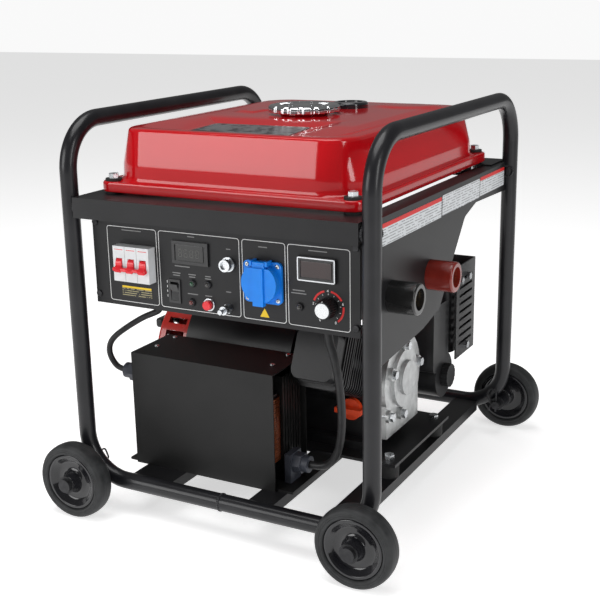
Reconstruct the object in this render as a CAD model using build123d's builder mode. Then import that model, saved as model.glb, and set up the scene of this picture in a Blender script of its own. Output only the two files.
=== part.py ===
# Engine driven welder: an inverter welding set in a wheeled tube frame.
# Origin: on the floor under the middle of the frame. +X runs to the right along the control panel,
# +Y runs to the back, +Z is up. All sizes are millimetres.
import os
from math import cos, pi, radians, sin, tan

from build123d import *

os.makedirs("parts", exist_ok=True)

# ---------------------------------------------------------------- driving dimensions
# tube frame
FRAME_HALF_X = 209.0        # centre line of the legs, from the middle
FRAME_HALF_Y = 239.0
TUBE_D = 22.0
TUBE_WALL = 1.6
TOP_TUBE_Z = 516.0          # centre line of the hand bars
BOTTOM_TUBE_Z = 46.5
TOP_BEND_R = 62.0
BOTTOM_BEND_R = 60.0
FIT_GAP = 0.06              # radial clearance of a shaft in its hole
CLEAR = 0.4                 # gap kept between pieces that move past each other
SEAT = 0.2                  # gap of a cut-out round the piece it holds

# wheels
WHEEL_D = 102.0
TYRE_W = 27.0
TYRE_SECTION = 13.0         # rubber depth from tread to rim
HUB_LEN = 39.0
HUB_D = 27.0
AXLE_D = 12.0
AXLE_X = 205.0
BRACKET_LEN = 26.0
BRACKET_D = 19.0
WASHER_T = 1.6

# rails and sheet metal
SHEET = 2.0
BEAM_TOP_Z = 425.0
BEAM_H = 26.0
BEAM_DEPTH = 60.0
RAIL_W = (62.8, 36.0, 36.0)    # the left channel is the wide one
RAIL_H = 14.0
RAIL_X = (-118.0, 48.0, 155.0)
SIDE_X = 205.0              # outer face of the side sheets

# fuel tank
TANK_HALF_X = 185.0
TANK_HALF_Y = 215.0
TANK_RIM_Z = 428.0
TANK_RIM_H = 13.0
TANK_BODY_Z = 459.0         # crease between the upright band and the sloping sides
TANK_SHOULDER_Z = 506.0
TANK_TOP_Z = 511.0
TANK_WALL = 1.5
TANK_BOLT_X = 168.0
TANK_BOLT_Y = 201.0
CAP_X = 6.0
CAP_Y = -12.0
CAP_D = 95.0
CAP_H = 10.5
NECK_D = 62.0
GAUGE_X = 28.0
GAUGE_Y = 82.0
GAUGE_D = 50.0

# control panel
PANEL_Y = -225.0            # front face of the panel
PANEL_HALF_X = 188.0
PANEL_BOTTOM_Z = 285.0
BOX_HALF_X = 160.0
BOX_BACK_Y = -150.0
BREAKER_X = -120.4
BREAKER_Z = 343.5
POLE_W = 18.0
POLES = 3
METER_X = -39.5
METER_Z = 363.5
AMMETER_X = 134.0
AMMETER_Z = 361.0
ROCKER_X = -65.0
ROCKER_Z = 313.0
SCHUKO_X = 63.0
SCHUKO_Z = 339.0
KNOB_X = 147.5
KNOB_Z = 317.3
RESET_X = -15.9
RESET_Z = 301.2
CONNECTOR_X = 14.4
CONNECTOR_Z = 355.2
GROUND_X = 12.3
GROUND_Z = 300.0
LAMPS = ((-38.4, 325.7), (-15.8, 326.4), (-40.4, 301.3), (110.4, 314.0))

# welding sockets on the right side sheet
SOCKET_Y = (-175.0, -56.0)
SOCKET_Z = (325.0, 323.0)
SOCKET_D = 38.5
SOCKET_LEN = 35.0
INSERT_BORE_R = 6.5

# inductor box at the front left
COIL_BOX_X = (-167.0, 50.0)
COIL_BOX_Y = (-190.0, -102.0)
COIL_BOX_Z = (49.5, 208.0)

# engine, crankshaft along X
CRANK_Y = 0.0
CRANK_Z = 160.0
PLATE_Z = 69.5
PLATE_T = 4.0
CASE_X = (20.0, 121.0)
COVER_T = 29.0
CYL_X = 90.0
CYL_TILT = 25.0             # the cylinder leans this far up from the horizontal, to the front
CYL_START = 60.0
CYL_END = 118.0
FIN_COUNT = 9
FIN_T = 2.4
HOUSING_X = (-150.0, 18.0)
HOUSING_R = 92.0
RECOIL_X = -205.0
RECOIL_R = 84.0
SHAFT_R = 15.0

TUBE_R = TUBE_D / 2
WHEEL_R = WHEEL_D / 2
AXLE_R = AXLE_D / 2
CORNERS = (("front_left", -1, -1), ("front_right", 1, -1), ("rear_left", -1, 1), ("rear_right", 1, 1))
BRACKET_IN = FRAME_HALF_Y - BRACKET_LEN / 2
BRACKET_OUT = FRAME_HALF_Y + BRACKET_LEN / 2
WASHER_IN = BRACKET_OUT + SEAT
HUB_IN = WASHER_IN + WASHER_T + CLEAR
HUB_OUT = HUB_IN + HUB_LEN
WASHER_OUT = HUB_OUT + CLEAR
HEAD_IN = WASHER_OUT + WASHER_T + SEAT
HEAD_T = 4.0
BRACKET_Z = WHEEL_R


def cylinder_y(x, z, y_start, y_end, radius, mode=Mode.ADD):
    """A round bar along Y, added to or cut from the current part."""
    with BuildSketch(Plane.XZ.offset(-y_end)) as disc:
        with Locations((x, z)):
            Circle(radius)
    extrude(disc.sketch, amount=y_end - y_start, mode=mode)


def cylinder_x(y, z, x_start, x_end, radius, mode=Mode.ADD):
    """A round bar along X, added to or cut from the current part."""
    with BuildSketch(Plane.YZ.offset(x_start)) as disc:
        with Locations((y, z)):
            Circle(radius)
    extrude(disc.sketch, amount=x_end - x_start, mode=mode)


def cylinder_z(x, y, z_start, z_end, radius, mode=Mode.ADD):
    """A round bar along Z, added to or cut from the current part."""
    with BuildSketch(Plane.XY.offset(z_start)) as disc:
        with Locations((x, y)):
            Circle(radius)
    extrude(disc.sketch, amount=z_end - z_start, mode=mode)


def block(x, y, z, mode=Mode.ADD):
    """A box from (low, high) pairs along the three axes."""
    centre = ((x[0] + x[1]) / 2, (y[0] + y[1]) / 2, (z[0] + z[1]) / 2)
    with Locations(centre):
        Box(x[1] - x[0], y[1] - y[0], z[1] - z[0], mode=mode)


# ---------------------------------------------------------------- frame hoops
# Each side of the frame is one bent tube: hand bar, two legs and half of both bottom tubes.
# A bracket sleeve for the wheel axle is welded outside each bottom bend.
TUBE_JOINT_GAP = 0.6
for side, name in ((-1, "frame_tube_left"), (1, "frame_tube_right")):
    x_leg = side * FRAME_HALF_X
    x_end = side * TUBE_JOINT_GAP / 2
    route = [
        (x_end, -FRAME_HALF_Y, BOTTOM_TUBE_Z),
        (x_leg, -FRAME_HALF_Y, BOTTOM_TUBE_Z),
        (x_leg, -FRAME_HALF_Y, TOP_TUBE_Z),
        (x_leg, FRAME_HALF_Y, TOP_TUBE_Z),
        (x_leg, FRAME_HALF_Y, BOTTOM_TUBE_Z),
        (x_end, FRAME_HALF_Y, BOTTOM_TUBE_Z),
    ]
    bends = [BOTTOM_BEND_R, TOP_BEND_R, TOP_BEND_R, BOTTOM_BEND_R]
    with BuildPart() as tube_blank:
        with BuildLine() as blank_line:
            FilletPolyline(*route, radius=bends)
        with BuildSketch(Plane(origin=blank_line.line @ 0, z_dir=blank_line.line % 0)):
            Circle(TUBE_R)
        sweep()
    with BuildPart() as tube_bore:
        with BuildLine() as bore_line:
            FilletPolyline(*route, radius=bends)
        with BuildSketch(Plane(origin=bore_line.line @ 0, z_dir=bore_line.line % 0)):
            Circle(TUBE_R - TUBE_WALL)
        sweep()
    with BuildPart() as frame_tube:
        for end in (-1, 1):
            y_mid = end * FRAME_HALF_Y
            cylinder_y(side * AXLE_X, BRACKET_Z, y_mid - BRACKET_LEN / 2, y_mid + BRACKET_LEN / 2, BRACKET_D / 2)
            web_x = (side * (AXLE_X - 18), side * (AXLE_X - 4))
            block((min(web_x), max(web_x)), (y_mid - 4, y_mid + 4), (BRACKET_Z - 4, BRACKET_Z + 14))
        add(tube_blank.part)
        for end in (-1, 1):
            y_mid = end * FRAME_HALF_Y
            with BuildSketch(Plane.XZ.offset(-y_mid - BRACKET_LEN)):
                with Locations((side * AXLE_X, BRACKET_Z)):
                    Circle(AXLE_R + FIT_GAP)
            extrude(amount=2 * BRACKET_LEN, mode=Mode.SUBTRACT)
        add(tube_bore.part, mode=Mode.SUBTRACT)
    frame_tube.part.label = name
    export_step(frame_tube.part, f"parts/{name}.step")

# ---------------------------------------------------------------- axles and their fixings
AXLE_TAIL = BRACKET_IN - 8
with BuildPart() as wheel_axles:
    for _, side, end in CORNERS:
        for y_from, y_to, radius in ((AXLE_TAIL, HEAD_IN, AXLE_R), (HEAD_IN, HEAD_IN + HEAD_T, AXLE_R + 3)):
            low, high = sorted((end * y_from, end * y_to))
            cylinder_y(side * AXLE_X, WHEEL_R, low, high, radius)
        with BuildSketch(Plane.XY.offset(WHEEL_R - AXLE_D)):
            with Locations((side * AXLE_X, end * (AXLE_TAIL + 4))):
                Circle(1.4)
        extrude(amount=2 * AXLE_D, mode=Mode.SUBTRACT)
wheel_axles.part.label = "wheel_axles"
export_step(wheel_axles.part, "parts/wheel_axles.step")

# washers each side of every hub, and the spring clip through each axle tail
with BuildPart() as axle_fixings:
    for _, side, end in CORNERS:
        for y_from in (WASHER_IN, WASHER_OUT):
            low, high = sorted((end * y_from, end * (y_from + WASHER_T)))
            with BuildSketch(Plane.XZ.offset(-high)):
                with Locations((side * AXLE_X, WHEEL_R)):
                    Circle(AXLE_R + 6)
                    Circle(AXLE_R + SEAT, mode=Mode.SUBTRACT)
            extrude(amount=high - low)
        clip_y = end * (AXLE_TAIL + 4)
        clip_x = side * AXLE_X
        with BuildLine() as clip_line:
            FilletPolyline(
                (clip_x, clip_y, WHEEL_R - 11),
                (clip_x, clip_y, WHEEL_R + 20),
                (clip_x - side * 9, clip_y, WHEEL_R + 26),
                (clip_x - side * 14, clip_y, WHEEL_R + 14),
                (clip_x - side * 7.9, clip_y, WHEEL_R + 1),
                (clip_x - side * 11, clip_y, WHEEL_R - 11),
                radius=3,
            )
        with BuildSketch(Plane(origin=clip_line.line @ 0, z_dir=clip_line.line % 0)):
            Circle(1.2)
        sweep(path=clip_line.line)
axle_fixings.part.label = "axle_fixings"
export_step(axle_fixings.part, "parts/axle_fixings.step")

# ---------------------------------------------------------------- wheels
RIM_R = WHEEL_R - TYRE_SECTION
TYRE_Y = (HUB_IN + HUB_OUT) / 2
for corner, side, end in CORNERS:
    axis = Axis((side * AXLE_X, 0, WHEEL_R), (0, 1, 0))
    x0 = side * AXLE_X
    half_w = TYRE_W / 2
    mid_y = end * TYRE_Y
    with BuildPart() as tyre:
        with BuildSketch(Plane.XY.offset(WHEEL_R)):
            with BuildLine():
                Polyline(
                    (x0 + RIM_R, mid_y - half_w + 2),
                    (x0 + RIM_R + 2, mid_y - half_w),
                    (x0 + WHEEL_R - 5, mid_y - half_w),
                    (x0 + WHEEL_R, mid_y - half_w + 5),
                    (x0 + WHEEL_R, mid_y + half_w - 5),
                    (x0 + WHEEL_R - 5, mid_y + half_w),
                    (x0 + RIM_R + 2, mid_y + half_w),
                    (x0 + RIM_R, mid_y + half_w - 2),
                    close=True,
                )
            make_face()
        revolve(axis=axis)
    tyre.part.label = f"tyre_{corner}"
    export_step(tyre.part, f"parts/tyre_{corner}.step")

    with BuildPart() as rim:
        with BuildSketch(Plane.XY.offset(WHEEL_R)):
            with BuildLine():
                Polyline(
                    (x0 + AXLE_R + FIT_GAP, end * HUB_IN),
                    (x0 + HUB_D / 2, end * HUB_IN),
                    (x0 + HUB_D / 2, end * (TYRE_Y - 3)),
                    (x0 + RIM_R - 8, end * (TYRE_Y - 3)),
                    (x0 + RIM_R - 4, end * (TYRE_Y - half_w + 2)),
                    (x0 + RIM_R, end * (TYRE_Y - half_w + 2)),
                    (x0 + RIM_R, end * (TYRE_Y + half_w - 2)),
                    (x0 + RIM_R - 4, end * (TYRE_Y + half_w - 2)),
                    (x0 + RIM_R - 8, end * (TYRE_Y + 3)),
                    (x0 + HUB_D / 2, end * (TYRE_Y + 3)),
                    (x0 + HUB_D / 2 - 3, end * HUB_OUT),
                    (x0 + AXLE_R + FIT_GAP, end * HUB_OUT),
                    close=True,
                )
            make_face()
        revolve(axis=axis)
    rim.part.label = f"rim_{corner}"
    export_step(rim.part, f"parts/rim_{corner}.step")

# ---------------------------------------------------------------- base rails
# Three folded channels run from the front bottom tube to the back one.
RAIL_Z = BOTTOM_TUBE_Z - TUBE_R
RAIL_TOP = RAIL_Z + RAIL_H
RAIL_END = FRAME_HALF_Y - TUBE_R - 0.1
RAIL_SHEET = 2.5
with BuildPart() as base_rails:
    for x_rail, rail_w in zip(RAIL_X, RAIL_W):
        x_pair = (x_rail - rail_w / 2, x_rail + rail_w / 2)
        block(x_pair, (-RAIL_END, RAIL_END), (RAIL_Z, RAIL_TOP))
        x_inner = (x_pair[0] + RAIL_SHEET, x_pair[1] - RAIL_SHEET)
        block(x_inner, (-RAIL_END, RAIL_END), (RAIL_Z, RAIL_TOP - RAIL_SHEET), mode=Mode.SUBTRACT)
base_rails.part.label = "base_rails"
export_step(base_rails.part, "parts/base_rails.step")

# ---------------------------------------------------------------- top beams and side sheets
BEAM_END_X = FRAME_HALF_X - TUBE_R - 0.5
BEAM_FACE_Y = FRAME_HALF_Y + TUBE_R
BOLT_R = 4.0
for end, name in ((-1, "front_top_beam"), (1, "rear_top_beam")):
    with BuildPart() as beam:
        for y_from, y_to, z_from, z_to in (
            (BEAM_FACE_Y - SHEET, BEAM_FACE_Y, BEAM_TOP_Z - BEAM_H, BEAM_TOP_Z),
            (BEAM_FACE_Y - BEAM_DEPTH, BEAM_FACE_Y, BEAM_TOP_Z - SHEET, BEAM_TOP_Z),
            (BEAM_FACE_Y - 14, BEAM_FACE_Y, BEAM_TOP_Z - BEAM_H, BEAM_TOP_Z - BEAM_H + SHEET),
        ):
            y_pair = sorted((end * y_from, end * y_to))
            block((-BEAM_END_X, BEAM_END_X), y_pair, (z_from, z_to))
        for side in (-1, 1):
            hole_y = end * TANK_BOLT_Y
            cylinder_z(side * TANK_BOLT_X, hole_y, 0, BEAM_TOP_Z + 1, BOLT_R + 1, mode=Mode.SUBTRACT)
    beam.part.label = name
    export_step(beam.part, f"parts/{name}.step")

SIDE_TOP_Z = BEAM_TOP_Z - SHEET
SIDE_END_Y = RAIL_END
SIDE_FLANGE = 24.0
with BuildPart() as left_side_rail:
    block((-SIDE_X, -SIDE_X + SHEET), (-SIDE_END_Y, SIDE_END_Y), (SIDE_TOP_Z - 24, SIDE_TOP_Z))
    block((-SIDE_X, -SIDE_X + SIDE_FLANGE), (-SIDE_END_Y, SIDE_END_Y), (SIDE_TOP_Z - SHEET, SIDE_TOP_Z))
left_side_rail.part.label = "left_side_rail"
export_step(left_side_rail.part, "parts/left_side_rail.step")

SLEEVE_HOLE_R = 15.0
with BuildPart() as right_side_panel:
    with BuildSketch(Plane.YZ.offset(SIDE_X - SHEET)):
        with BuildLine():
            Polyline(
                (-SIDE_END_Y, SIDE_TOP_Z),
                (SIDE_END_Y, SIDE_TOP_Z),
                (SIDE_END_Y, 382.5),
                (108, 386),
                (66, 374),
                (20, 322),
                (-22, 270),
                (-78, 258),
                (-SIDE_END_Y, 246),
                close=True,
            )
        face = make_face()
        corners = face.vertices().filter_by_position(Axis.Y, 250, 390).filter_by_position(Axis.X, -100, 160)
        fillet(corners, 14)
    extrude(amount=SHEET)
    block((SIDE_X - SIDE_FLANGE, SIDE_X), (-SIDE_END_Y, SIDE_END_Y), (SIDE_TOP_Z - SHEET, SIDE_TOP_Z))
    for socket_y, socket_z in zip(SOCKET_Y, SOCKET_Z):
        cylinder_x(socket_y, socket_z, SIDE_X - 10, SIDE_X + 10, SLEEVE_HOLE_R + SEAT, mode=Mode.SUBTRACT)
right_side_panel.part.label = "right_side_panel"
export_step(right_side_panel.part, "parts/right_side_panel.step")

# ---------------------------------------------------------------- fuel tank
# Pressed steel shell: a rim with a turned-down skirt, an upright band, sloping sides and a raised top.
RIM_INSET = 9.0             # the band stands this far inside the rim
SHOULDER_IN_X = 16.0        # the sides lean in from the band to the shoulder
SHOULDER_IN_Y = 6.0
TOP_HALF_X = 128.0
TOP_HALF_Y = 116.0
BAND_CORNER_R = 55.0
SHOULDER_CORNER_R = 38.0
TANK_FLOOR_Z = TANK_RIM_Z + TANK_RIM_H - 3.0
RIM_TOP_Z = TANK_RIM_Z + TANK_RIM_H
BAND_HALF_X = TANK_HALF_X - RIM_INSET
BAND_HALF_Y = TANK_HALF_Y - RIM_INSET
NECK_TOP_Z = TANK_TOP_Z + 3.0
NECK_R = NECK_D / 2
NECK_WALL = 4.0


def tank_body(shrink, z_low):
    """The tank's body as a solid, made smaller all round by shrink, from z_low to the top."""
    with BuildPart() as body:
        with BuildSketch(Plane.XY.offset(z_low)) as band:
            RectangleRounded(2 * (BAND_HALF_X - shrink), 2 * (BAND_HALF_Y - shrink), BAND_CORNER_R - shrink)
        extrude(band.sketch, amount=TANK_BODY_Z - z_low)
        with BuildSketch(Plane.XY.offset(TANK_BODY_Z)) as low:
            RectangleRounded(2 * (BAND_HALF_X - shrink), 2 * (BAND_HALF_Y - shrink), BAND_CORNER_R - shrink)
        shoulder_x = BAND_HALF_X - SHOULDER_IN_X - shrink
        shoulder_y = BAND_HALF_Y - SHOULDER_IN_Y - shrink
        with BuildSketch(Plane.XY.offset(TANK_SHOULDER_Z - shrink)) as shoulder:
            RectangleRounded(2 * shoulder_x, 2 * shoulder_y, SHOULDER_CORNER_R - shrink)
        loft([low.sketch.face(), shoulder.sketch.face()])
        with BuildSketch(Plane.XY.offset(TANK_TOP_Z - shrink)) as top:
            RectangleRounded(2 * (TOP_HALF_X - shrink), 2 * (TOP_HALF_Y - shrink), SHOULDER_CORNER_R - shrink)
        loft([shoulder.sketch.face(), top.sketch.face()])
    return body.part


with BuildPart() as fuel_tank:
    with BuildSketch(Plane.XY.offset(TANK_RIM_Z)):
        RectangleRounded(2 * TANK_HALF_X, 2 * TANK_HALF_Y, 20)
    extrude(amount=TANK_RIM_H)
    with BuildSketch(Plane.XY.offset(TANK_RIM_Z)):
        RectangleRounded(2 * (TANK_HALF_X - SHEET), 2 * (TANK_HALF_Y - SHEET), 18)
    extrude(amount=TANK_FLOOR_Z - TANK_RIM_Z, mode=Mode.SUBTRACT)
    add(tank_body(0, RIM_TOP_Z))
    add(tank_body(TANK_WALL, TANK_FLOOR_Z + TANK_WALL), mode=Mode.SUBTRACT)
    cylinder_z(CAP_X, CAP_Y, TANK_TOP_Z - 8, NECK_TOP_Z, NECK_R)
    cylinder_z(CAP_X, CAP_Y, TANK_TOP_Z - 12, NECK_TOP_Z + 1, NECK_R - NECK_WALL, mode=Mode.SUBTRACT)
    for side in (-1, 1):
        for end in (-1, 1):
            bolt_xy = (side * TANK_BOLT_X, end * TANK_BOLT_Y)
            cylinder_z(*bolt_xy, TANK_RIM_Z, RIM_TOP_Z + 1, BOLT_R + 1, mode=Mode.SUBTRACT)
fuel_tank.part.label = "fuel_tank"
export_step(fuel_tank.part, "parts/fuel_tank.step")

# bayonet plug with its gasket flange; it seats on the neck and lifts out with the cap
CORE_FLANGE_R = NECK_R
CORE_FLANGE_T = 2.0
CORE_TOP_Z = NECK_TOP_Z + CORE_FLANGE_T
with BuildPart() as filler_cap_core:
    cylinder_z(CAP_X, CAP_Y, NECK_TOP_Z, CORE_TOP_Z, CORE_FLANGE_R)
    cylinder_z(CAP_X, CAP_Y, TANK_TOP_Z - 6, NECK_TOP_Z, NECK_R - NECK_WALL - CLEAR)
    cylinder_z(CAP_X, CAP_Y, TANK_TOP_Z - 7, NECK_TOP_Z - 2, NECK_R - NECK_WALL - 4, mode=Mode.SUBTRACT)
filler_cap_core.part.label = "filler_cap_core"
export_step(filler_cap_core.part, "parts/filler_cap_core.step")

# chromed cap: a shallow shell with a scalloped grip edge
CAP_R = CAP_D / 2
CAP_LOBES = 16
CAP_BOTTOM_Z = NECK_TOP_Z + 0.6
CAP_TOP_Z = CAP_BOTTOM_Z + CAP_H
with BuildPart() as filler_cap:
    cylinder_z(CAP_X, CAP_Y, CAP_BOTTOM_Z, CAP_TOP_Z, CAP_R)
    chamfer(filler_cap.edges().group_by(Axis.Z)[-1], 2.5, 6)
    with BuildSketch(Plane.XY.offset(CAP_BOTTOM_Z - 1)):
        with Locations((CAP_X, CAP_Y)):
            with PolarLocations(CAP_R + 3.2, CAP_LOBES):
                Circle(5.2)
    extrude(amount=CAP_H - 1.5, mode=Mode.SUBTRACT)
    cylinder_z(CAP_X, CAP_Y, CAP_BOTTOM_Z - 1, CORE_TOP_Z + SEAT, CORE_FLANGE_R + CLEAR, mode=Mode.SUBTRACT)
    with BuildSketch(Plane.XY.offset(CAP_BOTTOM_Z - 1)):
        with Locations((CAP_X, CAP_Y)):
            Circle(CAP_R - 8)
            Circle(CORE_FLANGE_R + 3, mode=Mode.SUBTRACT)
    extrude(amount=CAP_H - 3, mode=Mode.SUBTRACT)
filler_cap.part.label = "filler_cap"
export_step(filler_cap.part, "parts/filler_cap.step")

# sealed float gauge let into the tank top
with BuildPart() as fuel_gauge:
    with BuildSketch(Plane.XY.offset(TANK_TOP_Z)):
        with Locations((GAUGE_X, GAUGE_Y)):
            Circle(GAUGE_D / 2)
    extrude(amount=8.0)
    fillet(fuel_gauge.edges().group_by(Axis.Z)[-1], 3.5)
    cylinder_z(GAUGE_X, GAUGE_Y, TANK_TOP_Z + 7.0, TANK_TOP_Z + 9, GAUGE_D / 2 - 8, mode=Mode.SUBTRACT)
fuel_gauge.part.label = "fuel_gauge"
export_step(fuel_gauge.part, "parts/fuel_gauge.step")

# ---------------------------------------------------------------- rubber mounts and bolts
MOUNT_D = 26.0
MOUNT_Y = 78.0
MOUNT_X = {-1: RAIL_X[0] - 5.0, 1: RAIL_X[2] + 5.0}
WASHER_R = 10.5
WASHER_PAD = 3.0
MOUNT_CORNERS = [(side, end) for side in (-1, 1) for end in (-1, 1)]
with BuildPart() as rubber_mounts:
    for side, end in MOUNT_CORNERS:
        with BuildSketch(Plane.XY.offset(RAIL_TOP)):
            with Locations((MOUNT_X[side], end * MOUNT_Y)):
                Circle(MOUNT_D / 2)
                Circle(BOLT_R + SEAT, mode=Mode.SUBTRACT)
        extrude(amount=PLATE_Z - RAIL_TOP)
        for z_from, z_to, radius in (
            (BEAM_TOP_Z, TANK_FLOOR_Z, WASHER_R),
            (RIM_TOP_Z, RIM_TOP_Z + WASHER_PAD, WASHER_R),
        ):
            with BuildSketch(Plane.XY.offset(z_from)):
                with Locations((side * TANK_BOLT_X, end * TANK_BOLT_Y)):
                    Circle(radius)
                    Circle(BOLT_R + SEAT, mode=Mode.SUBTRACT)
            extrude(amount=z_to - z_from)
rubber_mounts.part.label = "rubber_mounts"
export_step(rubber_mounts.part, "parts/rubber_mounts.step")

COVER_FACE_X = CASE_X[1] + COVER_T
COVER_BOLTS = ((1.5, 205), (45, 169), (-42, 176.5), (-51, 120), (-10.5, 111))
SHIELD_X = 170.0
SHIELD_BOLTS = ((181, 262), (176, 158), (150, 262))
PLATE_TOP = PLATE_Z + PLATE_T
with BuildPart() as machine_bolts:
    for side, end in MOUNT_CORNERS:
        bolt_xy = (side * TANK_BOLT_X, end * TANK_BOLT_Y)
        head_z = RIM_TOP_Z + WASHER_PAD
        cylinder_z(*bolt_xy, BEAM_TOP_Z - 12, head_z, BOLT_R)
        with BuildSketch(Plane.XY.offset(head_z)):
            with Locations(bolt_xy):
                RegularPolygon(6.5, 6)
        extrude(amount=6)
        mount_xy = (MOUNT_X[side], end * MOUNT_Y)
        cylinder_z(*mount_xy, RAIL_TOP, PLATE_TOP, BOLT_R)
        with BuildSketch(Plane.XY.offset(PLATE_TOP)):
            with Locations(mount_xy):
                RegularPolygon(7, 6)
        extrude(amount=6)
    for bolt_y, bolt_z in COVER_BOLTS:
        cylinder_x(bolt_y, bolt_z, CASE_X[1] - 8, COVER_FACE_X, 3)
        with BuildSketch(Plane.YZ.offset(COVER_FACE_X)):
            with Locations((bolt_y, bolt_z)):
                RegularPolygon(6, 6)
        extrude(amount=5)
    for bolt_y, bolt_z in SHIELD_BOLTS:
        with BuildSketch(Plane.YZ.offset(SHIELD_X)):
            with Locations((bolt_y, bolt_z)):
                RegularPolygon(5.5, 6)
        extrude(amount=4.5)
machine_bolts.part.label = "machine_bolts"
export_step(machine_bolts.part, "parts/machine_bolts.step")

# ---------------------------------------------------------------- control panel and its box
PANEL_TOP_Z = BEAM_TOP_Z - BEAM_H
PANEL_BACK_Y = PANEL_Y + SHEET
SCREW_X = 183.3
SCREW_Z = (297.0, 391.0)
BREAKER_W = POLES * POLE_W
BREAKER_NOSE_H = 45.0
METER_W = 52.0
METER_H = 28.5
AMMETER_W = 49.0
AMMETER_H = 29.0
ROCKER_W = 15.0
ROCKER_H = 27.0
SCHUKO_W = 51.0
SCHUKO_R = 21.5
RESET_R = 4.6
with BuildPart() as control_panel:
    block((-PANEL_HALF_X, PANEL_HALF_X), (PANEL_Y, PANEL_BACK_Y), (PANEL_BOTTOM_Z, PANEL_TOP_Z))
    with BuildSketch(Plane.XZ.offset(-PANEL_BACK_Y - 1)):
        for hole_x, hole_z, width, height in (
            (BREAKER_X, BREAKER_Z, BREAKER_W, BREAKER_NOSE_H),
            (METER_X, METER_Z, METER_W - 4, METER_H - 4),
            (AMMETER_X, AMMETER_Z, AMMETER_W - 4, AMMETER_H - 4),
            (ROCKER_X, ROCKER_Z, ROCKER_W, ROCKER_H),
        ):
            with Locations((hole_x, hole_z)):
                Rectangle(width + 2 * SEAT, height + 2 * SEAT)
        for hole_x, hole_z, radius in (
            (SCHUKO_X, SCHUKO_Z, SCHUKO_R + SEAT),
            (KNOB_X, KNOB_Z, 3.0 + SEAT),
            (RESET_X, RESET_Z, RESET_R + SEAT),
            (CONNECTOR_X, CONNECTOR_Z, 7.0 + SEAT),
            (GROUND_X, GROUND_Z, 3.0 + SEAT),
        ):
            with Locations((hole_x, hole_z)):
                Circle(radius)
        for lamp_x, lamp_z in LAMPS:
            with Locations((lamp_x, lamp_z)):
                Circle(3.0 + SEAT)
        for screw_x in (-SCREW_X, SCREW_X):
            for screw_z in SCREW_Z:
                with Locations((screw_x, screw_z)):
                    Circle(2.2)
    extrude(amount=SHEET + 2, mode=Mode.SUBTRACT)
control_panel.part.label = "control_panel"
export_step(control_panel.part, "parts/control_panel.step")

# folded box behind the panel, open to the front, with a screw flange down each end
BOX_SHEET = 1.5
BOX_Z = (PANEL_BOTTOM_Z + 2, SIDE_TOP_Z - SEAT)
with BuildPart() as control_box:
    block((-BOX_HALF_X, BOX_HALF_X), (PANEL_BACK_Y, BOX_BACK_Y), BOX_Z)
    inner_x = (-BOX_HALF_X + BOX_SHEET, BOX_HALF_X - BOX_SHEET)
    inner_z = (BOX_Z[0] + BOX_SHEET, BOX_Z[1] - BOX_SHEET)
    block(inner_x, (PANEL_BACK_Y - 1, BOX_BACK_Y - BOX_SHEET), inner_z, mode=Mode.SUBTRACT)
    for side in (-1, 1):
        x_pair = sorted((side * BOX_HALF_X, side * (PANEL_HALF_X - 1)))
        block(x_pair, (PANEL_BACK_Y, PANEL_BACK_Y + BOX_SHEET), (BOX_Z[0], PANEL_TOP_Z))
    for screw_x in (-SCREW_X, SCREW_X):
        for screw_z in SCREW_Z:
            cylinder_y(screw_x, screw_z, PANEL_Y - 1, PANEL_Y + 10, 2.2, mode=Mode.SUBTRACT)
control_box.part.label = "control_box"
export_step(control_box.part, "parts/control_box.step")

with BuildPart() as panel_screws:
    for screw_x in (-SCREW_X, SCREW_X):
        for screw_z in SCREW_Z:
            cylinder_y(screw_x, screw_z, PANEL_Y, PANEL_BACK_Y + 8, 2.0)
            cylinder_y(screw_x, screw_z, PANEL_Y - 2.4, PANEL_Y, 4.2)
    fillet(panel_screws.edges().group_by(Axis.Y)[0], 1.2)
panel_screws.part.label = "panel_screws"
export_step(panel_screws.part, "parts/panel_screws.step")

# ---------------------------------------------------------------- breaker
# Three poles side by side; the levers pivot in a slot across the nose and one bar ties them.
NOSE_Y = PANEL_Y - 14
LEVER_Y = NOSE_Y + 5
LEVER_Z = BREAKER_Z
LEVER_R = 7.0
TIE_OUT = 10.5              # the tie bar's distance from the pivot
TIE_R = 2.6
LEVER_DROP = 38.0           # the levers hang this far below the horizontal when off
BREAKER_DEPTH = 62.0
SLOT_HALF_W = 5.0
with BuildPart() as breaker_body:
    nose_x = (BREAKER_X - BREAKER_W / 2, BREAKER_X + BREAKER_W / 2)
    block(nose_x, (NOSE_Y, PANEL_BACK_Y + CLEAR), (BREAKER_Z - BREAKER_NOSE_H / 2, BREAKER_Z + BREAKER_NOSE_H / 2))
    block(nose_x, (PANEL_BACK_Y + CLEAR, NOSE_Y + BREAKER_DEPTH), (BREAKER_Z - 43, BREAKER_Z + 43))
    for pole in range(POLES):
        pole_x = BREAKER_X + (pole - (POLES - 1) / 2) * POLE_W
        slot_x = (pole_x - SLOT_HALF_W, pole_x + SLOT_HALF_W)
        slot_r = LEVER_R + CLEAR
        block(slot_x, (NOSE_Y - 1, LEVER_Y), (LEVER_Z - slot_r, LEVER_Z + slot_r), mode=Mode.SUBTRACT)
        cylinder_x(LEVER_Y, LEVER_Z, slot_x[0], slot_x[1], slot_r, mode=Mode.SUBTRACT)
breaker_body.part.label = "breaker_body"
export_step(breaker_body.part, "parts/breaker_body.step")

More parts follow.
